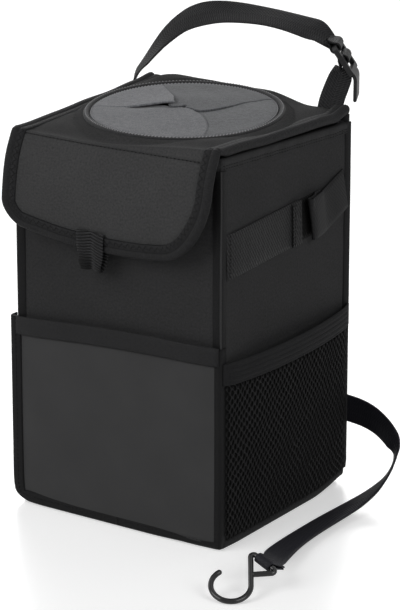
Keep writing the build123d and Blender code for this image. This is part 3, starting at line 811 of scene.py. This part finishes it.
both_sides = zip(side_run(-1, flap_left_corner), side_run(1, flap_right_corner))
edge_x, edge_s, edge_ix, edge_is = (np.concatenate([left, right[::-1][1:]]) for left, right in both_sides)
wobble = cloth_wave(edge_x + 6 * edge_ix, edge_s + 6 * edge_is)
wobble = wobble + np.where(edge_x > 0, 3.0, 1.8) * ramp(-edge_s, lid_length - 18, lid_length)
edge, edge_out, edge_down = on_cover(edge_x, edge_s, wobble)
inward = unit(stacked(edge_ix, 0, 0) + edge_is[:, None] * edge_down)
under = 2.9 + 1.7 * ramp(edge_s, -4, -12)
binding = np.zeros((len(edge), 16, 2))
binding[:] = [
    (10, 0.2), (9.7, 1.3), (7, 1.4), (5.2, 1.3), (4.6, 0.8), (4, 1.8), (2.2, 2.3), (0.4, 2),
    (-0.8, 0.9), (-1.3, -0.5), (-0.9, 0), (0.3, 0), (1.9, 0), (6, 0), (9.7, 0), (10, 0),
]
binding[:, 10:, 1] = -under[:, None] * np.array([0.62, 0.9, 1.0, 0.98, 0.95, 0.8])
binding_nodes = ["lid_left_binding", "lid_right_binding", "flap_binding"]
binding_edge = swept("lid_and_flap_edge", edge, inward, edge_out, binding, edge_look, binding_nodes, None)
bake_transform(binding_edge)

# Under the lid: its board and its lining, each with the round hole
hole = 57.0
board_reach = 76.0, 74.0
lining_reach = 75.0, 73.5


def lid_layer(name, node, half_sides, z, thickness, look):
    """A flat layer of the lid, from the round hole out to a rectangle."""
    turn = np.linspace(0, full_turn, 97)
    ways = stacked(np.cos(turn), np.sin(turn))
    reach = np.min(np.array(half_sides) / np.maximum(np.abs(ways), 1e-6), axis=1)
    radius = hole + (reach - hole)[None] * np.linspace(0, 1, 8)[:, None]
    x, y = radius * ways[:, 0], radius * ways[:, 1]
    sheet(name, stacked(x, y, z + back_lift * back_share(y)), thickness, look, [node], stacked(x, y), "lid")


lid_layer("lid_stiffener", "lid_board", board_reach, lid_under + 2.6, 1.6, board_look)
lid_layer("lid_under_lining", "lid_lining", lining_reach, lid_under + 1.2, 0.5, lining_look)


# Round opening: a sewn ring and four petals

ring_steps = 144
ring_profile = np.array([
    (0.6, -1), (0.6, 0.7), (-0.2, 1.7), (-1.4, 2.1), (-2.6, 1.8), (-3.3, 0.8), (-3.6, -0.2), (-5, -0.4),
    (-6.5, -0.3), (-6.5, -1.6),
])
ring_xy = circle(ring_steps)[:, None] * (ring_radius + ring_profile[:, :1])[None]
ring_z = lid_top + lid_rise(ring_xy[..., X], ring_xy[..., Y]) + ring_profile[:, 1]
ring_points = stacked(ring_xy[..., X], ring_xy[..., Y], ring_z).reshape(-1, 3)
ring_faces = (grid_faces(ring_steps + 1, len(ring_profile), wrap=True) % len(ring_points)).tolist()
piece("disc_ring", (ring_points, ring_faces, ring_points[:, :2]), foam_looks["edge"], ["opening_ring"], "lid")
ring_turn = np.linspace(0, full_turn, ring_steps + 1)
ring_thread = {"pitch": 2.4, "length": 2.0, "width": 0.8, "rise": 0.4}
for name, radius, rise in (("ring", ring_radius - 0.9, 1.95), ("rim", ring_radius - 4.6, 1.2)):
    x, y = radius * np.cos(ring_turn), radius * np.sin(ring_turn)
    ring_line = stacked(x, y, lid_top + lid_rise(x, y) + rise)
    stitch_row(f"disc_{name}_stitches", ring_line, upright, pale_thread_look, body="lid", **ring_thread)

petal_rim = ring_radius - 3.9
petal_dome = 1.2
slit_way = 196


def petal(side, first_edge, last_edge, level, start=1.5, tip=0.0, dip=0.0):
    """A soft sheet between two curved edges; level is its layer, tip lifts its point, dip opens its slit."""
    r = np.linspace(start, petal_rim, 44)[:, None]
    a, b = np.radians(first_edge(r)), np.radians(last_edge(r))
    angle = a + (b - a) * np.linspace(0, 1, 56)[None]
    x, y = r * np.cos(angle), r * np.sin(angle)
    border = 1 - ramp(r, petal_rim, petal_rim - 2)
    z = lid_top + lid_rise(x, y) + 0.4 + level * (0.2 + 1.3 * ramp(r, 50, 16)) - 0.9 * border
    z = z + petal_dome * (1 - (r / petal_rim) ** 2)
    z = z + 0.7 * ripple(x, y, seed=44, scale=62) * ramp(r, petal_rim, petal_rim - 12)
    z = z + tip * ramp(r, 36, 6) ** 2
    z = z - dip * ramp(r, 46, 30) * np.exp(-(((np.degrees(angle) - slit_way) / 16) ** 2))
    places, node = stacked(x, y), f"{side}_petal"
    sheet(f"petal_{side}", stacked(x, y, z), petal_foam, foam_looks[side], [node], places, "lid")


left_start = 7.3
petal("right", lambda r: -72 + 0 * r, lambda r: 92 + 0 * r, 0)
petal(
    "back", lambda r: 54 - 65 * np.exp(-np.maximum(r - 14.8, 0) / 11),
    lambda r: 172 + 36 * ramp(r, 16, 6), 1.0,
)
petal("front", lambda r: 184 + 0 * r, lambda r: 347.7 - 0.5 * r + 14 * ramp(r, 12, 2), 0.5, dip=1.6)
petal(
    "left", lambda r: 139 + 46 * np.exp(-(r - left_start) / 6),
    lambda r: 203 - 18 * np.exp(-(r - left_start) / 12), 1.5, left_start, tip=1.8,
)


# Front pocket

slant = np.tan(np.radians(3.0))
band_height = 12.5
strip_middle = (pocket_half + half_x) / 2
pocket_mid_top = middle_of("front_pocket_band", Z) + band_height / 2
pocket_foot = base_tape_top - 1.0
pocket_reach = 81.0
pocket_arch = 2.6
side_roll = 5.6
pocket_gap, band_gap = 0.9, 2.0


def pocket_bow(x, z):
    """How far the front pocket stands off the wall."""
    bow = np.clip(1 - (np.abs(x) / pocket_reach) ** 6, 0, 1)
    rise = np.clip((z - pocket_foot) / (pocket_mid_top - pocket_foot), 0, 1)
    swell = 3.2 * np.sin(np.pi * rise) ** 0.6 * bow
    return (0.8 + 2.0 * rise) * bow + swell * (1 - 0.5 * rise)


def left_roll(z):
    """How far the pocket's left edge rolls out past the corner."""
    return side_roll * ramp(z, -24, 20) * ramp(z, 200, 140)


def pocket_grid(low, high, left, right, lean, count):
    """Places on the pocket between two heights; lean tilts each of them with the pocket's top edge."""
    x, share = grid((left, right, 61), (0, 1, count))
    rise = slant * x + pocket_arch * (1 - (x / half_x) ** 2)
    return x, (low + lean[0] * rise) * (1 - share) + (high + lean[1] * rise) * share


band_low = pocket_mid_top - band_height
px, pz = pocket_grid(pocket_foot, band_low + 1, -half_x + 0.5, half_x - 1.5, (0, 1), 41)
pocket = stacked(px, -half_y - pocket_gap - pocket_bow(px, pz), pz)
sheet("pocket_front", pocket, pocket_fabric, pocket_look, ["front_pocket"], stacked(px, pz))
bx, bz = pocket_grid(band_low, pocket_mid_top, -half_x - side_roll + 0.5, half_x - 0.5, (1, 1), 13)
roll = 0.6 * (1 - np.abs(np.linspace(-1, 1, 13)[:, None]) ** 6)
edge_turn = 3.0 * ramp(np.abs(bx), pocket_reach, pocket_reach + 5) ** 2
band = stacked(bx, -half_y - band_gap - roll + edge_turn - pocket_bow(bx, bz), bz)
sheet("pocket_band", band, pocket_tape, tape_look, ["front_pocket_band"], stacked(bx, bz))

# Tape down the pocket's sides and along its foot to the middle
strip_section = np.array([
    (-3.6, 0), (-3.5, 2.4), (-2.8, 2.9), (0, 2.6), (2.4, 2.6), (3.4, 1.6), (3.8, -0.2), (3.7, -5),
    (2.8, -5.2), (2.5, -0.6), (0, -0.3),
])
wide_section = np.concatenate([[(-5.6, 0.0), (-5.5, 2.4), (-4.6, 2.9)], strip_section[3:]])
narrow_section = np.array([
    (-2.4, 0), (-2.3, 1.4), (-1.6, 1.9), (0, 1.7), (1.6, 1.6), (2.4, 0.9), (2.8, -0.4), (2.7, -5),
    (1.8, -5.2), (1.5, -0.6), (0, -0.3),
])
strip_round = 4.5
strip_foot = 4.1


def strip_route(edge_middle, gap, top, corner):
    """The tape down a side, round its corner and along the foot: places, ways out and share of foot."""
    inset, rise, way_x, way_z = corner
    return run_of(
        (edge_middle, np.linspace(top - 0.5, strip_foot + gap, 40), 1, 0, 0),
        (edge_middle - inset, strip_foot + rise, way_x, way_z, 0),
        (np.linspace(edge_middle - gap, 0, 30), strip_foot, 0, -1, ramp(np.linspace(0, 1.5, 30), 0, 1)),
    )


strip_turn = np.linspace(0, np.pi / 2, 9)[1:]
turn_cos, turn_sin = np.cos(strip_turn), np.sin(strip_turn)
round_corner = strip_round * (1 - turn_cos), strip_round * (1 - turn_sin), turn_cos, -turn_sin
square_corner = np.array([[0.0], [0.0], [1.0], [-1.0]])
for hand, side, edge_middle, gap, corner, first_section in (
    ("left", -1, strip_middle, strip_round, round_corner, wide_section),
    ("right", 1, half_x - 2.2, 4.0, square_corner, narrow_section),
):
    top = pocket_mid_top + side * slant * pocket_half
    x, z, out_x, out_z, foot_share = strip_route(edge_middle, gap, top, corner)
    if hand == "left":
        x = x + left_roll(z) * np.abs(out_x)
    share = foot_share[:, None, None]
    section = first_section * (1 - share) + strip_section * share
    line, out = stacked(side * x, -half_y, z), stacked(side * out_x, 0, out_z)
    node = f"front_pocket_{hand}_binding"
    swept(f"pocket_{hand}_edge", line, out, forwards, section, strip_look, [node])
    stitch_line = line - out * 1.4 + forwards * section[:, 2, 1:]
    stitch_row(f"pocket_{hand}_stitches", stitch_line, forwards, thread_look)


# Mesh side pockets: a net of diamonds with an elastic along its top

net_low = base_tape_top - 0.5
cell_across, cell_up = 5.0, 6.4


def net_face(y, z, out=0.0):
    """The place of the net's cloth on the right side: it stands away from the wall between its side seams."""
    rise = np.clip((z - net_low) / (elastic_top - net_low), 0, 1.05)
    bow = np.clip(1 - (y / mesh_half) ** 2, 0, 1)
    lift = (0.9 + 8.1 * rise) * bow**0.8 + 1.5 * np.sin(np.pi * np.clip(rise, 0, 1)) * bow
    return stacked(half_x + 0.5 + lift + out, y, z)


def askew(flat):
    """Places on the net drawn out of line, as in a net that has been stretched; its borders stay."""
    y, z = flat[..., 0], flat[..., 1]
    loose = ramp(np.abs(y), mesh_half, mesh_half - 12) * ramp(z, net_low, net_low + 10)
    loose = loose * ramp(z, mesh_high + 4, mesh_high - 6)
    shift_y = 1.4 * loose * ripple(y, z, seed=51, scale=34)
    shift_z = 1.2 * loose * ripple(y, z, seed=52, scale=30)
    return stacked(y + shift_y, z + shift_z)


def net_mesh():
    """A diamond net: each cell is a frame round an oval hole, with thickness."""
    diamond = np.array([(1, 0), (0.5, 0.5), (0, 1), (-0.5, 0.5), (-1, 0), (-0.5, -0.5), (0, -1), (0.5, -0.5)])
    half = np.array([cell_across / 2, cell_up / 2])
    columns = int(2 * mesh_half / cell_across)
    centres = []
    for row in range(1, int((mesh_high - net_low) / half[1])):
        for column in range(columns - row % 2):
            y = (column + 0.5 + 0.5 * (row % 2)) * cell_across - columns * cell_across / 2
            centres.append((y, net_low + row * half[1]))
    rings = diamond, circle(8, 0.6, 0.7)
    outer, inner = (askew(np.array(centres)[:, None] + ring * half) for ring in rings)
    layers = [net_face(ring[..., 0], ring[..., 1], out) for ring, out in
              ((outer, 0.5), (inner, 0.2), (inner, -0.2), (outer, -0.4))]
    points = np.stack(layers, axis=1).reshape(-1, 3)
    cell_faces = grid_faces(len(layers), 8, wrap=True)
    starts = np.arange(0, len(points), 8 * len(layers))
    return points, (starts[:, None, None] + cell_faces).reshape(-1, 4)


net_points, net_faces = net_mesh()
ey, ez = grid((-mesh_half - 0.5, mesh_half + 0.5, 90), (mesh_high - 1, elastic_top, 27))
elastic_share = (ez - mesh_high + 1) / (elastic_top - mesh_high + 1)
ridges = 1.2 * np.sin(elastic_share * np.pi) ** 0.5 + 0.35 * np.cos(elastic_share * full_turn * 4.5)
elastic_end = ramp(np.abs(ey), mesh_half + 0.5, mesh_half - 8.5)
elastic = net_face(ey, ez, (0.8 + ridges) * elastic_end)
# A dark sheet just behind the net: painted shade, which keeps the wall dark through the holes.
net_shade_sheet = net_face(*grid((-mesh_half + 1, mesh_half - 1, 30), (net_low + 1, mesh_high, 20)), -0.9)
for hand, way, flip in (("right", 1, np.ones(3)), ("left", -1, np.array([-1, 1, 1]))):
    net = net_points * flip, net_faces[:, ::way].tolist(), net_points[:, 1:]
    piece(f"{hand}_net", net, net_look, [f"{hand}_mesh_pocket"])
    sheet(f"{hand}_net_shade_sheet", net_shade_sheet[:, ::way] * flip, net_fabric, net_shade_look)
    node = f"{hand}_pocket_elastic"
    sheet(f"{hand}_elastic", elastic[:, ::way] * flip, elastic_fabric, elastic_look, [node])


# Side bands with a standing loop: places along the wall and off it, then the ways they lean and shift

band_middle = middle_of("right_band_front", Z)
band_tilt = np.tan(np.radians(2.5))
band_front = low_of("right_band_front", Y)
band_back = high_of("right_band_loop", Y)
front_line = [
    (band_front, 0.2), (band_front + 6, 1.7), (-50, 1.9), (-10, 1.9), (7, 1.9), (12.6, 2), (14.2, 2.8),
    (12.6, 3.6), (8, 3.5), (2.5, 3.3),
]
slot_line = [(10, 0.8), (18, 0.9), (24, 0.9), (30, 0.9), (36, 0.8)]
loop_line = [
    (40, 1.6), (36, 1.7), (33, 2), (31, 3), (30, 4.2), (26.6, 5.2), (22.6, 5.6), (21, 6.6), (22.6, 7.6),
    (28, 7.2), (38, 4.8), (44, 2.8), (52, 2), (62, 1.8), (band_back, 0.8),
]
loop_lean = np.array([0, 0, 0, 0, -0.05, -0.15, -0.2, -0.2, -0.2, -0.1, -0.1, -0.2, -0.3, -0.3, -0.2])
loop_shift = np.array([0, 0, 0, 0, 0, 0, 0, 0, 0, 0, -0.5, -0.5, 1.0, 4.0, 6.5])


def band_strap(side, line, width, steps, lean=0.0, shift=0.0, relief=0.16):
    """A strap of the side band along places on the wall."""
    y, out = np.array(line, float).T
    route = stacked(side * (wall_x + out), y, band_middle + band_tilt * y + shift)
    return strap_mesh(route, stacked(0, lean - band_tilt, 1), width, steps, relief=relief)


for hand, side in (("right", 1), ("left", -1)):
    strap = band_strap(side, front_line, band_width, 24)
    piece(f"{hand}_band_front_strap", strap, band_look, [f"{hand}_band_front"])
    strap = band_strap(side, loop_line, band_width, 24, loop_lean, loop_shift, 0.06)
    piece(f"{hand}_band_loop_strap", strap, loop_look, [f"{hand}_band_loop"])
    # A near-black strap in the crevice before the loop: painted shade.
    piece(f"{hand}_band_shaded_slot", band_strap(side, slot_line, band_width - 1, 12), slot_shade_look)
    for k, (y, depth) in enumerate(((2.6, 4.3), (5.2, 4.3), (band_front + 2.4, 1.9))):
        rise = np.linspace(-band_width / 2 + 1, band_width / 2 - 1, 12)
        seam = stacked(side * (wall_x + depth), y, band_middle + band_tilt * y + rise)
        stitch_row(f"{hand}_band_stitches_{k}", seam, (side, 0, 0), thread_look, pitch=2.4, length=1.9)


# Hanging strap, its anchor and the strap with the hook: routes, and the ways their width points

hanging_route = [
    (-83.4, 62, 228), (-83.4, 62.5, 240), (-85.4, 64, 252), (-89.6, 67.5, 262.5), (-91, 74.6, 271),
    (-89.8, 84.6, 277.8), (-86.6, 90.6, 285.3), (-81.5, 95, 293.5), (-73, 97, 302), (-62.2, 97.2, 309.6),
    (-47.8, 97, 315.2), (-27.8, 97, 318.8), (2.7, 97, 319.6), (21.8, 96.5, 318.4), (34.8, 95.4, 317.2),
    (45.9, 93.8, 316.2), (53.5, 93.6, 312), (58.5, 95, 307.6),
]
hanging_sides = [
    (0, 1, 0), (0, 1, 0), (-0.15, 0.98, 0), (-0.45, 0.89, 0), (-0.58, 0.81, 0), (-0.56, 0.8, 0.15),
    (-0.45, 0.75, 0.42), (-0.25, 0.62, 0.72), (-0.1, 0.52, 0.84), (0, 0.5, 0.86), (0, 0.6, 0.8),
    (0, 0.8, 0.55), (0, 0.93, 0.35), (0, 0.93, 0.36), (-0.1, 0.85, 0.45), (-0.2, 0.75, 0.6),
    (-0.3, 0.8, 0.4), (-0.42, 0.85, 0.15),
]
anchor_route = [
    (65, 79.6, 226), (65, 79.6, 238), (64.6, 79.9, 252), (63.6, 81.5, 262), (62.4, 86.5, 271),
    (63, 92.5, 280), (64.2, 96.4, 287.5), (64.6, 97.2, 292),
]
anchor_sides = [(1, 0, 0)] * 6 + [(0.99, -0.1, 0), (0.87, -0.48, 0)]
hook_route = [
    (42, 79.9, 54), (58, 79.9, 54), (72, 80.2, 54), (84, 79.8, 54), (97, 78.2, 53.4), (110, 75.2, 51),
    (123, 69.5, 46.5), (131.5, 66, 39.5), (132.8, 62, 30.5), (130.2, 57, 20.5), (124.8, 48, 11.5),
    (119.3, 31, 5.6), (116.3, 8, 3.4), (116.1, -12, 3.2), (117.2, -34, 3.6), (120.4, -55, 5),
    (127, -77, 8), (134.2, -93, 11.4), (137.6, -101, 14.2),
]
eye_side = (0.933, -0.116, -0.34)
hook_sides = [(0, 0, 1)] * 6 + [
    (0.05, 0.02, 1), (0.12, 0.05, 0.98), (0.25, 0.1, 0.94), (0.55, 0.2, 0.8), (0.85, 0.2, 0.48),
    (0.96, 0.1, 0.24), (0.98, 0.04, 0.17), (0.985, 0, 0.16), (0.985, 0, 0.14), (0.99, 0, 0.08),
    (0.98, 0, -0.1), eye_side, eye_side,
]
hook_widths = [webbing_width] * 16 + [19.0, 17.0, 13.0]


def loop_mesh(bar, way, side, radius, tail, widths):
    """The end of a strap sewn back on itself round a bar; way points from the bar along the tail."""
    bar, way, side = np.array(bar), unit(np.array(way)), unit(np.array(side))
    rise = np.cross(side, way)
    line = [bar + way * tail + rise * 0.7, bar + way * tail * 0.6 + rise * 1.2]
    for angle in np.radians(np.linspace(-110, 110, 8)):
        line.append(bar + radius * (-rise * np.sin(angle) - way * np.cos(angle)))
    line += [bar + way * tail * 0.6 - rise * 1.2, bar + way * tail - rise * 0.7]
    width = [widths[0]] + [widths[1]] * (len(line) - 2) + [widths[0]]
    return strap_mesh(line, side, width, steps=12)


# Bars of the slider and the eye of the hook, and the ways from them along the straps
slider_way = (-0.45, 0.89, 0.0)
slider_widths = (webbing_width, webbing_width)
slider_loop, eye_loop = 3.5, 2.9
top_bar = (60.43, 95.49, 307.91)
hanging_up = (-0.75, -0.3, 0.6)
middle_bar = (65.4, 98.0, 299.6)
anchor_down = (-0.1653, -0.0835, -0.9827)
eye_middle = (139.0, -111.4, 17.3)
eye_tail = (-0.0064, 0.9412, -0.3378)

for name, route, sides, bar, way, tail in (
    ("hanging", hanging_route, hanging_sides, top_bar, hanging_up, 7.0),
    ("anchor", anchor_route, anchor_sides, middle_bar, anchor_down, 8.0),
):
    run = strap_mesh(route, sides, webbing_width)
    loop = loop_mesh(bar, way, slider_way, slider_loop, tail, slider_widths)
    piece(f"{name}_webbing", joined([run, loop]), webbing_look, [f"{name}_strap"], settle=False)
hook_ribbon = strap_mesh(hook_route, hook_sides, hook_widths, relief=0.05)
hook_strap = piece("hook_webbing", hook_ribbon, hook_strap_look, ["hook_strap"], settle=False)
hook_loop = loop_mesh(eye_middle, eye_tail, eye_side, eye_loop, 15.0, (15.0, 12.5))
hook_end = piece("hook_webbing_loop", hook_loop, hook_strap_look, settle=False)

# Wire that closes the hook's eye, and the round cap on its free tip
wire_radius = 1.83
wire_section = circle(16, wire_radius, wire_radius)
hook_right = np.array([0.827, 0.562, 0.0])
hook_down = np.array([0.493, -0.725, -0.48])
hook_middle = np.array([half_x + 53.8, -half_y - 68.0, 1.85])
hook_out = unit(np.cross(hook_right, hook_down))
eye_half = 12.5
tip_start, tip_stop = 12.0, 17.0
tip_left, tip_above, tip_fall = 7.46, 23.65, 0.0875
cap_right, cap_down, cap_end = 0.819, 0.574, 84
eye_corner = np.array(eye_middle) + eye_half * np.array(eye_side)
tip_way = unit(tip_fall * hook_down - hook_right)
tip_line = eye_corner + tip_way * np.linspace(tip_start, tip_stop, 6)[:, None]
free_tip = hook_middle - tip_left * hook_right - tip_above * hook_down
cap_way = unit(cap_right * hook_right - cap_down * hook_down)
cap_turn = np.radians(np.linspace(0, cap_end, 9))[:, None]
cap_line = free_tip + wire_radius * np.sin(cap_turn) * cap_way
tips = joined([
    swept_mesh(tip_line, hook_out, np.cross(tip_way, hook_out), wire_section),
    swept_mesh(cap_line, hook_out, np.cross(cap_way, hook_out), wire_section * np.cos(cap_turn)[:, None]),
])
hook_tip = piece("hook_tips", tips, wire_look, body="hook", settle=False)
hook_path = spline(hook_route, 12)


# Pull loop and closure of the flap

pull_offset = -10.0
pull_top = flap_length - 13
low_point, low_out, low_down = on_cover(0.0, flap_length)
pull_line = [on_cover(0.0, s, lift)[0] for s, lift in
             ((pull_top, 1.4), (flap_length - 7, 2.9), (flap_length - 1, 3.1))]
for fall, lift in ((5, 3.4), (10, 3.6), (14, 3.0), (16.2, 0.8), (14.5, -1.8), (8, -2.6), (0, -2.6)):
    pull_line.append(low_point + low_down * fall + low_out * lift)
pull_line += [on_cover(0.0, s, lift)[0] for s, lift in ((flap_length - 6, -2.8), (pull_top, -3.0))]
pull_shift = np.array([0, 0, -0.3, -1.0, -2.0, -2.8, -3.0, -2.4, -1.0, 0, 0, 0]) + pull_offset
pull_line = np.array(pull_line) + stacked(pull_shift, 0, 0)
pull_widths = [22.0, 22.0, 21.5, 20.0, 18.0, 16.5, 16.0, 17.0, 20.0, 22.0, 22.0, 22.0]
pull = strap_mesh(pull_line, (1, 0, 0), pull_widths, steps=24, rib=2.1, fold=2.6, relief=0.3)
piece("pull_webbing", pull, pull_look, ["pull_loop"], "flap")

patch = "closure_loop_patch"
patch_x, patch_z = grid(
    (low_of(patch, X), high_of(patch, X), 16), (low_of(patch, Z), high_of(patch, Z), 10)
)
patch_gap, flap_gap = 1.9, 0.8
sheet("closure_soft", stacked(patch_x, -wall_y - patch_gap, patch_z), closure_pile, closure_look, [patch])
patch_s = np.interp(patch_z[:, 0][::-1], profile[::-1, 1], profile_at[::-1])
under_flap = on_cover(*np.meshgrid(patch_x[0], patch_s), -flap_thickness - flap_gap)[0]
sheet("closure_hooks", under_flap, closure_hooks, closure_look, ["closure_hook_patch"], body="flap")

# Solids that show as they are
solid_looks = {"strap_slider": buckle_look, "hook": wire_look}
for board in ("front_board", "back_board", "left_board", "right_board", "base_board"):
    solid_looks[board] = board_look
for node, look in solid_looks.items():
    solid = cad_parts[node]
    solid.data.materials.clear()
    solid.data.materials.append(look["material"])
edge_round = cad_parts["strap_slider"].modifiers.new("edges", "BEVEL")
edge_round.width = 0.4 * MM
edge_round.segments = 2
edge_round.limit_method = "ANGLE"


# Floor, light and camera

def seen(tree, low):
    """1 for rays that see the backdrop, straight or in a reflection, and a lower level for its light."""
    path = tree.nodes.new("ShaderNodeLightPath")
    rays = ("Is Camera Ray", "Is Glossy Ray", "Is Transmission Ray")
    camera_ray, glossy_ray, clear_ray = (Shade(tree, path.outputs[ray]) for ray in rays)
    sight = camera_ray.calc("MAXIMUM", glossy_ray).calc("MAXIMUM", clear_ray)
    return sight.calc("MULTIPLY_ADD", 1 - low, low)


wide = 6.0
floor_grey, floor_roughness, floor_index, floor_glow = 0.75, 0.3, 2.2, 0.4
floor_mesh = bpy.data.meshes.new("floor")
floor_corners = [(-wide, -wide, 0), (wide, -wide, 0), (wide, wide, 0), (-wide, wide, 0)]
floor_mesh.from_pydata(floor_corners, [], [(0, 1, 2, 3)])
floor = placed("floor", floor_mesh)
floor_paint = bpy.data.materials.new("floor_paint")
floor_paint.use_nodes = True
floor_tree = floor_paint.node_tree
floor_shader = floor_tree.nodes["Principled BSDF"]
for socket, value in (
    ("Base Color", (floor_grey, floor_grey, floor_grey, 1)), ("Roughness", floor_roughness),
    ("IOR", floor_index), ("Emission Color", (1, 1, 1, 1)),
    ("Emission Strength", seen(floor_tree, 0.0) * floor_glow),
):
    put(floor_tree, floor_shader.inputs[socket], value)
floor_mesh.materials.append(floor_paint)


def facing(way):
    """The turn of a lamp or camera that looks a given way."""
    return Vector(way).to_track_quat("-Z", "Y")


def softbox(name, place, aim, size, power):
    """A rectangular soft light."""
    lamp = bpy.data.lights.new(name, "AREA")
    lamp.shape = "RECTANGLE"
    lamp.size, lamp.size_y = size
    lamp.energy = power
    thing = placed(name, lamp)
    thing.location = place
    thing.rotation_mode = "QUATERNION"
    thing.rotation_quaternion = facing(Vector(aim) - Vector(place))


softbox("key", (-0.7, -1.7, 1.3), (0, 0, 0.15), (1.4, 1.4), 30)
softbox("fill", (1.8, -0.6, 1.2), (0, 0, 0.15), (1.2, 1.2), 21)
softbox("top", (-0.1, 0.7, 1.9), (0, 0, 0.2), (1.6, 1.2), 3)
softbox("back", (-1.2, 1.6, 1.1), (0, 0, 0.12), (1.2, 1.2), 7)
softbox("left", (-1.9, -0.1, 0.9), (0, 0, 0.12), (1.0, 1.0), 5)

backdrop_light = 0.2
world = bpy.data.worlds.new("studio")
bpy.context.scene.world = world
world.use_nodes = True
backdrop = world.node_tree.nodes["Background"]
backdrop.inputs["Color"].default_value = (1, 1, 1, 1)
put(world.node_tree, backdrop.inputs["Strength"], seen(world.node_tree, backdrop_light))

azimuth, elevation = np.radians(34.2), np.radians(18.6)
distance = 2.37
focal_px, picture_height = 3462.6, 610
aim_height, aim_right, aim_down = 0.14, 0.0106, 0.0037
level_way = np.array([-np.sin(azimuth), np.cos(azimuth), 0])
forward = level_way * np.cos(elevation) - upright * np.sin(elevation)
camera_right = unit(np.cross(forward, upright))
camera_up = np.cross(camera_right, forward)
target = upright * aim_height + camera_right * aim_right - camera_up * aim_down
camera_data = bpy.data.cameras.new("camera")
camera_data.sensor_width = 36.0
camera_data.lens = focal_px / picture_height * camera_data.sensor_width
camera = placed("camera", camera_data)
camera.location = target - forward * distance
camera.rotation_mode = "QUATERNION"
camera.rotation_quaternion = facing(forward)
bpy.context.scene.camera = camera
bpy.context.scene.view_settings.view_transform = "Standard"
